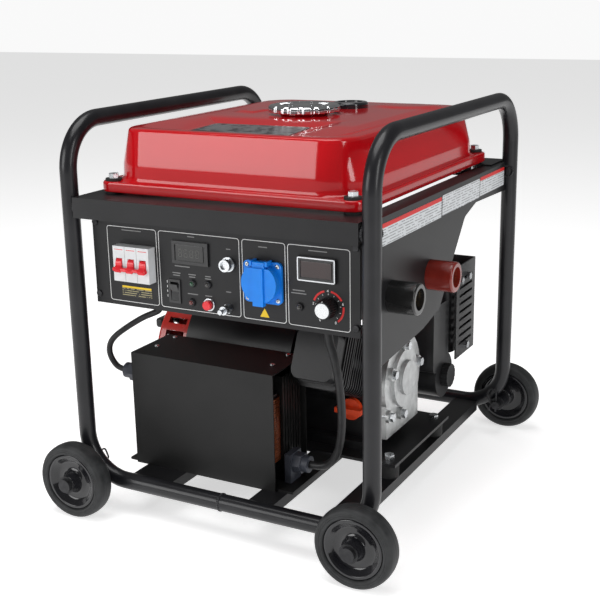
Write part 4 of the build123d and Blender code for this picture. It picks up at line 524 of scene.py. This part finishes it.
# ---------------------------------------------------------------- control panel and its box
# A steel face plate under a satin dark grey polyester overlay, with the four fields outlined in white
# print. It is held to the folded box by four dome-headed screws.
overlay = finish("panel_overlay", (0.009, 0.009, 0.010), 0.46, patch=0.06, shade=0.12, wander=0.05, grain=0.0005, relief=0.00001)
dress(overlay, "control_panel")
dress(sheet_coat, "control_box")
dress(axle_black, "panel_screws")
PANEL_Y = -0.225


def on_panel(u, v, height):
    return np.stack((u, PANEL_Y - height, v), axis=-1)


def outline_print(outline, width, lay, height=0.00012):
    """A printed line of this width that follows a closed outline, as a band 0.12 mm thick."""
    outline = np.asarray(outline, float)
    ahead = np.roll(outline, -1, 0) - np.roll(outline, 1, 0)
    normal = np.stack((-ahead[:, 1], ahead[:, 0]), axis=-1) / np.linalg.norm(ahead, axis=1)[:, None]
    rings = []
    for side, rise in ((-0.5, -0.2), (-0.5, 1.0), (0.5, 1.0), (0.5, -0.2)):
        flat = outline + normal * side * width
        rings.append(lay(flat[:, 0], flat[:, 1], np.full(len(flat), rise * height)))
    return skin(np.array(rings), loop=True)


def field_outline(x_low, x_high, z_low, z_high, corner):
    flat = round_rectangle((x_high - x_low) / 2, (z_high - z_low) / 2, corner, 7, 2)
    return flat + ((x_low + x_high) / 2, (z_low + z_high) / 2)


white_ink = finish("white_ink", (0.75, 0.75, 0.75), 0.5, patch=0.02, shade=0.05)
red_ink = finish("red_ink", (0.62, 0.02, 0.02), 0.45, patch=0.02, shade=0.05)
grey_ink = finish("grey_ink", (0.20, 0.20, 0.20), 0.5, patch=0.02, shade=0.05)
prints = []
for x_low, x_high in ((-0.1652, -0.0901), (-0.0864, 0.0295), (0.0337, 0.0918), (0.0954, 0.1753)):
    prints.append(outline_print(field_outline(x_low, x_high, 0.2910, 0.3876, 0.0035), 0.0007, on_panel))
KNOB_X, KNOB_Z = 0.1475, 0.3173
for index in range(11):
    turn = np.radians(225 - 27 * index)
    near, far = 0.0150, 0.0168
    tick = [(KNOB_X + r * np.cos(turn) + w * np.sin(turn), KNOB_Z + r * np.sin(turn) - w * np.cos(turn)) for r, w in ((near, -0.0003), (far, -0.0003), (far, 0.0003), (near, 0.0003))]
    prints.append(slab(tick, -0.00002, 0.0001, on_panel, 0.00002))
piece("panel_print_white", gather(prints), white_ink)


def arc_band(centre, inner, outer, start, stop, steps=40):
    """A flat band between two radii, from one angle to another, in degrees."""
    turn = np.radians(np.linspace(start, stop, steps))
    ring = np.stack((np.cos(turn), np.sin(turn)), axis=-1)
    return np.vstack((ring * outer, ring[::-1] * inner)) + centre


scale_parts = [
    slab(arc_band((KNOB_X, KNOB_Z), 0.0183, 0.0207, start, stop), -0.00002, 0.0001, on_panel, 0.00002)
    for start, stop in ((160, 105), (80, 30), (8, -52))
]
piece("current_scale", gather(scale_parts), red_ink)


def figures(text, size, centre, lay):
    """Dial figures in the program's own plain letter shapes, flattened to a mesh and laid on the panel."""
    letters = bpy.data.curves.new("figures", "FONT")
    letters.body = text
    letters.size = size
    letters.align_x = "CENTER"
    letters.align_y = "CENTER"
    letters.extrude = 0.00006
    letters.resolution_u = 3
    carrier = bpy.data.objects.new("figures", letters)
    mesh = bpy.data.meshes.new_from_object(carrier)
    flat = np.zeros(len(mesh.vertices) * 3, np.float32)
    mesh.vertices.foreach_get("co", flat)
    flat = flat.reshape(-1, 3).astype(float)
    faces = [list(polygon.vertices) for polygon in mesh.polygons]
    bpy.data.objects.remove(carrier)
    bpy.data.curves.remove(letters)
    bpy.data.meshes.remove(mesh)
    return lay(flat[:, 0] + centre[0], flat[:, 1] + centre[1], flat[:, 2] + 0.00004), faces


dial = []
for text, turn in (("0", 236), ("2", 172), ("4", 92), ("6", 18), ("8", -62)):
    spot = (KNOB_X + 0.0196 * np.cos(np.radians(turn)), KNOB_Z + 0.0196 * np.sin(np.radians(turn)))
    dial.append(figures(text, 0.0048, spot, on_panel))
piece("dial_figures", gather(dial), white_ink)

# Captions beside the controls are plain grey dashes, one or two to a control.
captions = []
for x, z, width in (
    (-0.1275, 0.3838, 0.030), (-0.0385, 0.3838, 0.010), (0.0145, 0.3735, 0.006), (0.0620, 0.3805, 0.012),
    (0.1345, 0.3825, 0.024), (-0.0620, 0.3365, 0.012), (-0.0390, 0.3365, 0.011), (-0.0160, 0.3365, 0.008),
    (-0.0620, 0.3335, 0.010), (-0.0390, 0.3335, 0.009), (-0.0160, 0.3335, 0.009), (-0.0390, 0.3120, 0.015),
    (-0.0160, 0.3120, 0.010), (0.0130, 0.3205, 0.007), (0.1090, 0.3335, 0.016), (0.1090, 0.3300, 0.020),
    (-0.0530, 0.3455, 0.022),
):
    dash = field_outline(x - width / 2, x + width / 2, z - 0.0006, z + 0.0006, 0.0004)
    captions.append(slab(dash, -0.00002, 0.0001, on_panel, 0.00002))
piece("caption_dashes", gather(captions), grey_ink)

# ---------------------------------------------------------------- breaker
# Three moulded poles in white plastic with red levers and a tie bar; a small yellow and black plate
# sits below it.
white_plastic = finish("white_plastic", (0.66, 0.67, 0.68), 0.34, patch=0.01, shade=0.05, grain=0.0004, relief=0.00001)
lever_red = finish("lever_red", (0.70, 0.02, 0.03), 0.25, coat=0.3, patch=0.01, shade=0.08)
dress(white_plastic, "breaker_body")
dress(lever_red, "breaker_toggle")
BREAKER_X, NOSE_Y = -0.1204, -0.239


def on_nose(u, v, height):
    return np.stack((u, NOSE_Y - height, v), axis=-1)


marks = []
for pole in (-1, 0, 1):
    middle = BREAKER_X + pole * 0.018
    marks.append(slab(field_outline(middle - 0.0065, middle + 0.0065, 0.3614, 0.3622, 0.0003), -0.00002, 0.0001, on_nose, 0.00002))
piece("breaker_rules", gather(marks), lever_red)
joints = [
    slab(field_outline(BREAKER_X + half * 0.018 - 0.0002, BREAKER_X + half * 0.018 + 0.0002, 0.3212, 0.3658, 0.0001), -0.00002, 0.00008, on_nose, 0.00002)
    for half in (-0.5, 0.5)
]
piece("breaker_joints", gather(joints), grey_ink)
yellow_ink = finish("yellow_ink", (0.75, 0.50, 0.02), 0.4, patch=0.02, shade=0.06)
notice_film = ruled_film("notice_film", (0.02, 0.02, 0.02), (0.34, 0.30, 0.16), "Z", 0.0028, 0.35, 260.0)
notice_plate = slab(field_outline(-0.1466, -0.1008, 0.2973, 0.3119, 0.001), -0.00002, 0.00025, on_panel, 0.0001)
piece("breaker_notice", notice_plate, notice_film)
band_plate = slab(field_outline(-0.1462, -0.1012, 0.3090, 0.3116, 0.0005), 0.0002, 0.0004, on_panel, 0.0001)
piece("breaker_notice_band", band_plate, yellow_ink)

# ---------------------------------------------------------------- meters, switch, lamps and connector
# A black digital meter, an ammeter with a bright frame round a dark red window, a rocker, four pilot
# lamps, a red reset button, a screw-ring connector and the earth stud.
meter_black = finish("meter_black", (0.014, 0.014, 0.015), 0.3, coat=0.4, patch=0.02, shade=0.15)
dress(meter_black, "digital_meter", "ammeter", "rocker_housing", "rocker_switch")


def on_plane(y):
    return lambda u, v, height: np.stack((u, y - height, v), axis=-1)


smoked_glass = finish("smoked_glass", (0.004, 0.004, 0.004), 0.06, coat=0.5, patch=0.03, shade=0.1, wander=0.02, relief=0.000002)
red_window = finish("red_window", (0.018, 0.004, 0.004), 0.06, coat=0.5, patch=0.03, shade=0.2, wander=0.02, relief=0.000002)
bright_trim = finish("bright_trim", (0.55, 0.56, 0.58), 0.22, metallic=1.0, patch=0.01, shade=0.1)
piece("digital_window", slab(field_outline(-0.0590, -0.0200, 0.3535, 0.3735, 0.001), 0.0, 0.0008, on_plane(-0.2270)), smoked_glass)
digit_ink = finish("digit_segments", (0.085, 0.085, 0.080), 0.4, patch=0.02, shade=0.05)
segments = []
for digit in range(4):
    x = -0.0532 + 0.0082 * digit
    for du, dv, wide, tall in (
        (0, 0.0046, 0.0038, 0.0008), (0, 0, 0.0038, 0.0008), (0, -0.0046, 0.0038, 0.0008), (-0.0023, 0.0023, 0.0008, 0.0038),
        (0.0023, 0.0023, 0.0008, 0.0038), (-0.0023, -0.0023, 0.0008, 0.0038), (0.0023, -0.0023, 0.0008, 0.0038),
    ):
        cell = field_outline(x + du - wide / 2, x + du + wide / 2, 0.3632 + dv - tall / 2, 0.3632 + dv + tall / 2, 0.0003)
        segments.append(slab(cell, 0.0, 0.0001, on_plane(-0.2278), 0.00003))
piece("digital_segments", gather(segments), digit_ink)
piece("ammeter_window", slab(field_outline(0.1142, 0.1538, 0.3515, 0.3705, 0.001), 0.0, 0.0010, on_plane(-0.2280)), red_window)
piece("ammeter_trim", outline_print(field_outline(0.1104, 0.1576, 0.3476, 0.3744, 0.0012), 0.0014, on_plane(-0.2290), 0.0005), bright_trim)
piece("rocker_marks", gather([
    slab(field_outline(mark_x - 0.0004, mark_x + 0.0004, low, low + 0.0030, 0.0003), -0.00002, 0.0001, on_panel, 0.00002)
    for mark_x, low in ((-0.0765, 0.3225), (-0.0765, 0.3165), (-0.0765, 0.3105), (-0.0765, 0.3045))
]), white_ink)
lamp_lens = {}
for lamp_name, colour in (("green", (0.01, 0.06, 0.025)), ("amber", (0.05, 0.02, 0.006)), ("red", (0.10, 0.008, 0.006)), ("dark", (0.02, 0.018, 0.016))):
    lamp_lens[lamp_name] = finish(f"lamp_{lamp_name}", colour, 0.10, coat=1.0, patch=0.01, shade=0.15)
dress(meter_black, "pilot_lamps")
dress(lever_red, "reset_button")
for lamp_name, x, z in (("green", -0.0384, 0.3257), ("dark", -0.0158, 0.3264), ("red", -0.0404, 0.3013), ("dark", 0.1104, 0.3140)):
    lens_profile = eased([(0.0, 0.0030), (0.0030, 0.0030), (0.0042, 0.0024), (0.0050, 0.0012), (0.0052, 0.0001)], 0.0006)
    piece(f"lamp_lens_{lamp_name}_{round(x * 1e4)}".replace("-", "m"), turned(lens_profile, (x, PANEL_Y, z), (0.0, -1.0, 0.0), 40), lamp_lens[lamp_name])
    collar = eased([(0.0, 0.0030), (0.0, 0.0052), (0.0016, 0.0048), (0.0032, 0.0042), (0.0032, 0.0031)], 0.0004, loop=True)
    piece(f"lamp_collar_{round(x * 1e4)}_{round(z * 1e4)}".replace("-", "m"), turned(collar, (x, PANEL_Y, z), (0.0, -1.0, 0.0), 40, loop=True), axle_black)
collar = eased([(0.0, 0.0063), (0.0, 0.0086), (0.0010, 0.0084), (0.0017, 0.0076), (0.0017, 0.0063)], 0.0004, loop=True)
piece("reset_collar", turned(collar, (-0.0159, PANEL_Y, 0.3012), (0.0, -1.0, 0.0), 64, loop=True), bright_trim)
dress(zinc, "ground_terminal", "signal_connector")

# ---------------------------------------------------------------- earthed outlet
# Bright blue moulded plastic: a square flange with four screws and a sprung round lid with a raised
# band down its middle.
outlet_blue = finish("outlet_blue", (0.006, 0.20, 0.72), 0.30, patch=0.02, shade=0.06, grain=0.0005, relief=0.00001)
dress(outlet_blue, "schuko_socket", "schuko_lid")
outlet_screws, screw_slots = [], []
for side_u in (-1, 1):
    for side_v in (-1, 1):
        spot = (0.063 + side_u * 0.0205, PANEL_Y - 0.004, 0.339 + side_v * 0.0205)
        head = eased([(0.0, 0.0028), (0.0006, 0.0028), (0.0012, 0.0018), (0.0013, 0.0001)], 0.0004)
        outlet_screws.append(turned(head, spot, (0.0, -1.0, 0.0), 28))
        for wide, tall in ((0.0014, 0.0003), (0.0003, 0.0014)):
            slot_outline = field_outline(spot[0] - wide, spot[0] + wide, spot[2] - tall, spot[2] + tall, 0.0001)
            screw_slots.append(slab(slot_outline, 0.0, 0.0014, on_plane(spot[1]), 0.0001))
piece("outlet_screws", gather(outlet_screws), zinc)
piece("outlet_screw_slots", gather(screw_slots), axle_black)
triangle = rounded_polygon([(0.0562, 0.2952), (0.0690, 0.2952), (0.0626, 0.3062)], 0.001)
piece("outlet_mark", slab(triangle, -0.00002, 0.0002, on_panel, 0.00005), yellow_ink)

# ---------------------------------------------------------------- current knob
# A moulded black skirt with finger ribs and a spun aluminium cap, pressed on the potentiometer shaft.
knob_profile = eased([
    (0.0006, 0.0118), (0.0006, 0.0124), (0.0040, 0.0124), (0.0150, 0.0112), (0.0164, 0.0104), (0.0166, 0.0080), (0.0166, 0.0001),
], 0.0008)


def finger_ribs(angle, along, radius):
    """Twenty-four ribs pressed into the side of the skirt and none on its face."""
    return radius - 0.0009 * (0.5 - 0.5 * np.cos(24 * angle)) * np.clip((radius - 0.0100) / 0.0012, 0, 1) * (along > 0.0039)


knob_plastic = finish("knob_plastic", (0.012, 0.012, 0.013), 0.34, patch=0.01, shade=0.15)
spun_metal = finish("spun_aluminium", (0.62, 0.63, 0.64), 0.28, metallic=1.0, patch=0.002, shade=0.1, wander=0.1)
knob = piece("knob_skirt", turned(knob_profile, (KNOB_X, PANEL_Y, KNOB_Z), (0.0, -1.0, 0.0), 192, lobes=finger_ribs), knob_plastic, "current_knob", sharp=50)
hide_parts("current_knob")
face_profile = [(0.0160, 0.0090)] + [(0.01685 + 0.00006 * (ring % 2), 0.0089 - 0.00042 * ring) for ring in range(21)] + [(0.01690, 0.0001)]
piece("knob_face", turned(face_profile, (KNOB_X, PANEL_Y, KNOB_Z), (0.0, -1.0, 0.0), 96), spun_metal, "current_knob")
pointer = field_outline(KNOB_X - 0.0005, KNOB_X + 0.0005, KNOB_Z + 0.0094, KNOB_Z + 0.0113, 0.0003)
piece("knob_pointer", slab(pointer, 0.0, 0.0004, on_plane(PANEL_Y - 0.0158), 0.0001), white_ink, "current_knob")

# ---------------------------------------------------------------- side labels
# Three blank film labels in a row under the top edge of the right side sheet: pale grey with rows of
# fine rules and, on the first and last, a red header band.
SIDE_X = 0.205


def on_side(u, v, height):
    return np.stack((SIDE_X + height, u, v), axis=-1)


label_film = ruled_film("label_film", (0.62, 0.64, 0.66), (0.22, 0.23, 0.24), "Z", 0.0034, 0.30, 160.0)
for number, (y_low, y_high, z_low, z_high, header) in enumerate((
    (-0.2030, -0.0215, 0.3895, 0.4155, 0.0052), (-0.0185, 0.1210, 0.3905, 0.4165, 0.0), (0.1230, 0.2255, 0.3915, 0.4175, 0.0050),
)):
    film = piece(f"side_label_{number}", slab(field_outline(y_low, y_high, z_low, z_high, 0.0018), -0.0001, 0.0002, on_side, 0.0001), label_film)
    if header:
        band = field_outline(y_low, y_high, z_high - header, z_high, 0.0012)
        band_piece = piece(f"side_label_header_{number}", slab(band, 0.0001, 0.0003, on_side, 0.0001), red_ink)

# ---------------------------------------------------------------- welding sockets
# Thick moulded sleeves, one black and one oxide red, over brass inserts that take the weld leads.
sleeve_black = finish("sleeve_black", (0.014, 0.014, 0.014), 0.22, coat=0.4, patch=0.02, shade=0.2)
sleeve_red = finish("sleeve_red", (0.19, 0.016, 0.010), 0.22, coat=0.4, patch=0.02, shade=0.2)
brass = finish("brass", (0.62, 0.42, 0.16), 0.25, metallic=1.0, patch=0.005, shade=0.2, wander=0.1)
dress(sleeve_black, "weld_socket_black")
dress(sleeve_red, "weld_socket_red")
dress(brass, "socket_inserts")
lining = []
for socket_y, socket_z in ((-0.175, 0.325), (-0.056, 0.323)):
    profile = eased([(0.0, 0.0132), (0.0, 0.0104), (0.0186, 0.0104), (0.0186, 0.0110), (0.0010, 0.0110), (0.0010, 0.0132)], 0.0002, loop=True)
    lining.append(turned(profile, (SIDE_X + 0.0082, socket_y, socket_z), (1.0, 0.0, 0.0), 64, loop=True))
piece("socket_linings", gather(lining), brass)

# ---------------------------------------------------------------- inductor box and coil
# A folded matt black cover over a laminated core. Its open right end shows the stacked black strips of
# the core clamp and, behind them, the copper turns in their orange varnish.
box_coat = finish("box_coat", (0.008, 0.008, 0.008), 0.5, patch=0.05, shade=0.15, grain=0.0007, relief=0.00003)
lamination = finish("lamination", (0.012, 0.012, 0.012), 0.32, metallic=0.4, patch=0.008, shade=0.3, relief=0.00003)
varnished_copper = finish("varnished_copper", (0.30, 0.08, 0.025), 0.30, metallic=0.9, coat=0.3, patch=0.004, shade=0.35)
dress(box_coat, "coil_box")
dress(lamination, "inductor_coil")
turns = []
wire = [(0.0014 * np.cos(a), 0.0014 * np.sin(a)) for a in np.linspace(0, 2 * np.pi, 8, endpoint=False)]
for layer in range(28):
    height = 0.0870 + 0.0031 * layer
    loop_xy = round_rectangle(0.0655 + 0.0004 * (layer % 2), 0.0128, 0.0090, 6, 3) + (-0.0200, -0.1738)
    path = np.column_stack((loop_xy, np.full(len(loop_xy), height)))
    turns.append(carry(wire, path, loop=True))
coil = piece("copper_turns", gather(turns), varnished_copper)
lid_screws = []
for x, y in ((0.030, -0.154), (0.029, -0.111), (-0.150, -0.154), (-0.150, -0.111)):
    lid_screws.append(turned(eased([(0.0, 0.0036), (0.0012, 0.0036), (0.0022, 0.0020), (0.0024, 0.0001)], 0.0004), (x, y, 0.208), (0.0, 0.0, 1.0), 24))
piece("box_lid_screws", gather(lid_screws), zinc)

# ---------------------------------------------------------------- glands and leads
# Nylon glands clamp two rubber-sheathed leads, which climb from the inductor box to grommets under the
# control box.
gland_nylon = finish("gland_nylon", (0.05, 0.055, 0.07), 0.42, patch=0.01, shade=0.15)
dress(gland_nylon, "cable_glands")
lead_rubber = finish("lead_rubber", (0.014, 0.014, 0.015), 0.42, patch=0.01, shade=0.25, grain=0.0007, relief=0.00003)
for lead_name, node, radius, route in (
    ("inductor_lead_sheath", "inductor_lead", 0.004, (
        (-0.186, -0.176, 0.176), (-0.198, -0.176, 0.176), (-0.208, -0.177, 0.185), (-0.213, -0.178, 0.198),
        (-0.210, -0.179, 0.212), (-0.198, -0.180, 0.225), (-0.175, -0.181, 0.241), (-0.149, -0.182, 0.257),
        (-0.131, -0.183, 0.265), (-0.119, -0.184, 0.271), (-0.119, -0.184, 0.279),
    )),
    ("output_lead_sheath", "output_lead", 0.00525, (
        (0.080, -0.150, 0.078), (0.096, -0.150, 0.078), (0.111, -0.151, 0.086), (0.122, -0.153, 0.104),
        (0.129, -0.157, 0.130), (0.133, -0.163, 0.162), (0.134, -0.170, 0.198), (0.131, -0.175, 0.234),
        (0.122, -0.177, 0.262), (0.122, -0.177, 0.279),
    )),
):
    line = bpy.data.curves.new(lead_name, "CURVE")
    line.dimensions = "3D"
    line.bevel_depth = radius
    line.bevel_resolution = 5
    line.resolution_u = 12
    line.use_fill_caps = True
    spline = line.splines.new("NURBS")
    spline.points.add(len(route) - 1)
    spline.points.foreach_set("co", np.column_stack((route, np.ones(len(route)))).ravel())
    spline.order_u = 3
    spline.use_endpoint_u = True
    line.materials.append(lead_rubber)
    lead = bpy.data.objects.new(lead_name, line)
    bpy.context.scene.collection.objects.link(lead)
    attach(lead, "frame")
    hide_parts(node)

# ---------------------------------------------------------------- engine
# Cast aluminium crankcase and finned cylinder painted satin black, a bare side cover, and pressed covers
# round the blower and starter.
engine_black = finish("engine_black", (0.008, 0.008, 0.009), 0.40, coat=0.0, patch=0.02, shade=0.25, grain=0.0013, relief=0.00012)
cast_aluminium = finish("cast_aluminium", (0.56, 0.57, 0.57), 0.42, metallic=0.85, patch=0.012, shade=0.16, wander=0.12, grain=0.0012, relief=0.00012)
blower_black = finish("blower_black", (0.006, 0.006, 0.007), 0.36, coat=0.0, patch=0.06, shade=0.15, grain=0.002, relief=0.00002)
recoil_red = finish("recoil_red", (0.42, 0.016, 0.010), 0.26, coat=0.5, patch=0.03, shade=0.12)
handle_black = finish("handle_black", (0.015, 0.015, 0.015), 0.4, patch=0.01)
dress(engine_black, "engine_block", "cylinder_head")
dress(cast_aluminium, "side_cover", "crank_and_rotor")
dress(blower_black, "blower_housing")
dress(recoil_red, "recoil_cover")
dress(handle_black, "recoil_handle")

# ---------------------------------------------------------------- air cleaner, muffler and oil cap
# Moulded black air cleaner with a ribbed wing knob, a heat-proof black muffler behind a louvred shield,
# and an orange oil filler cap.
cleaner_plastic = finish("cleaner_plastic", (0.016, 0.016, 0.017), 0.34, patch=0.03, shade=0.15, grain=0.0006, relief=0.00003)
heat_paint = finish("heat_paint", (0.014, 0.014, 0.015), 0.4, patch=0.02, shade=0.3, grain=0.0008, relief=0.00006)
cap_orange = finish("cap_orange", (0.72, 0.06, 0.012), 0.32, patch=0.01, shade=0.12)
dress(cleaner_plastic, "air_cleaner", "air_cleaner_knob")
dress(heat_paint, "muffler", "muffler_shield")
dress(cap_orange, "oil_cap")
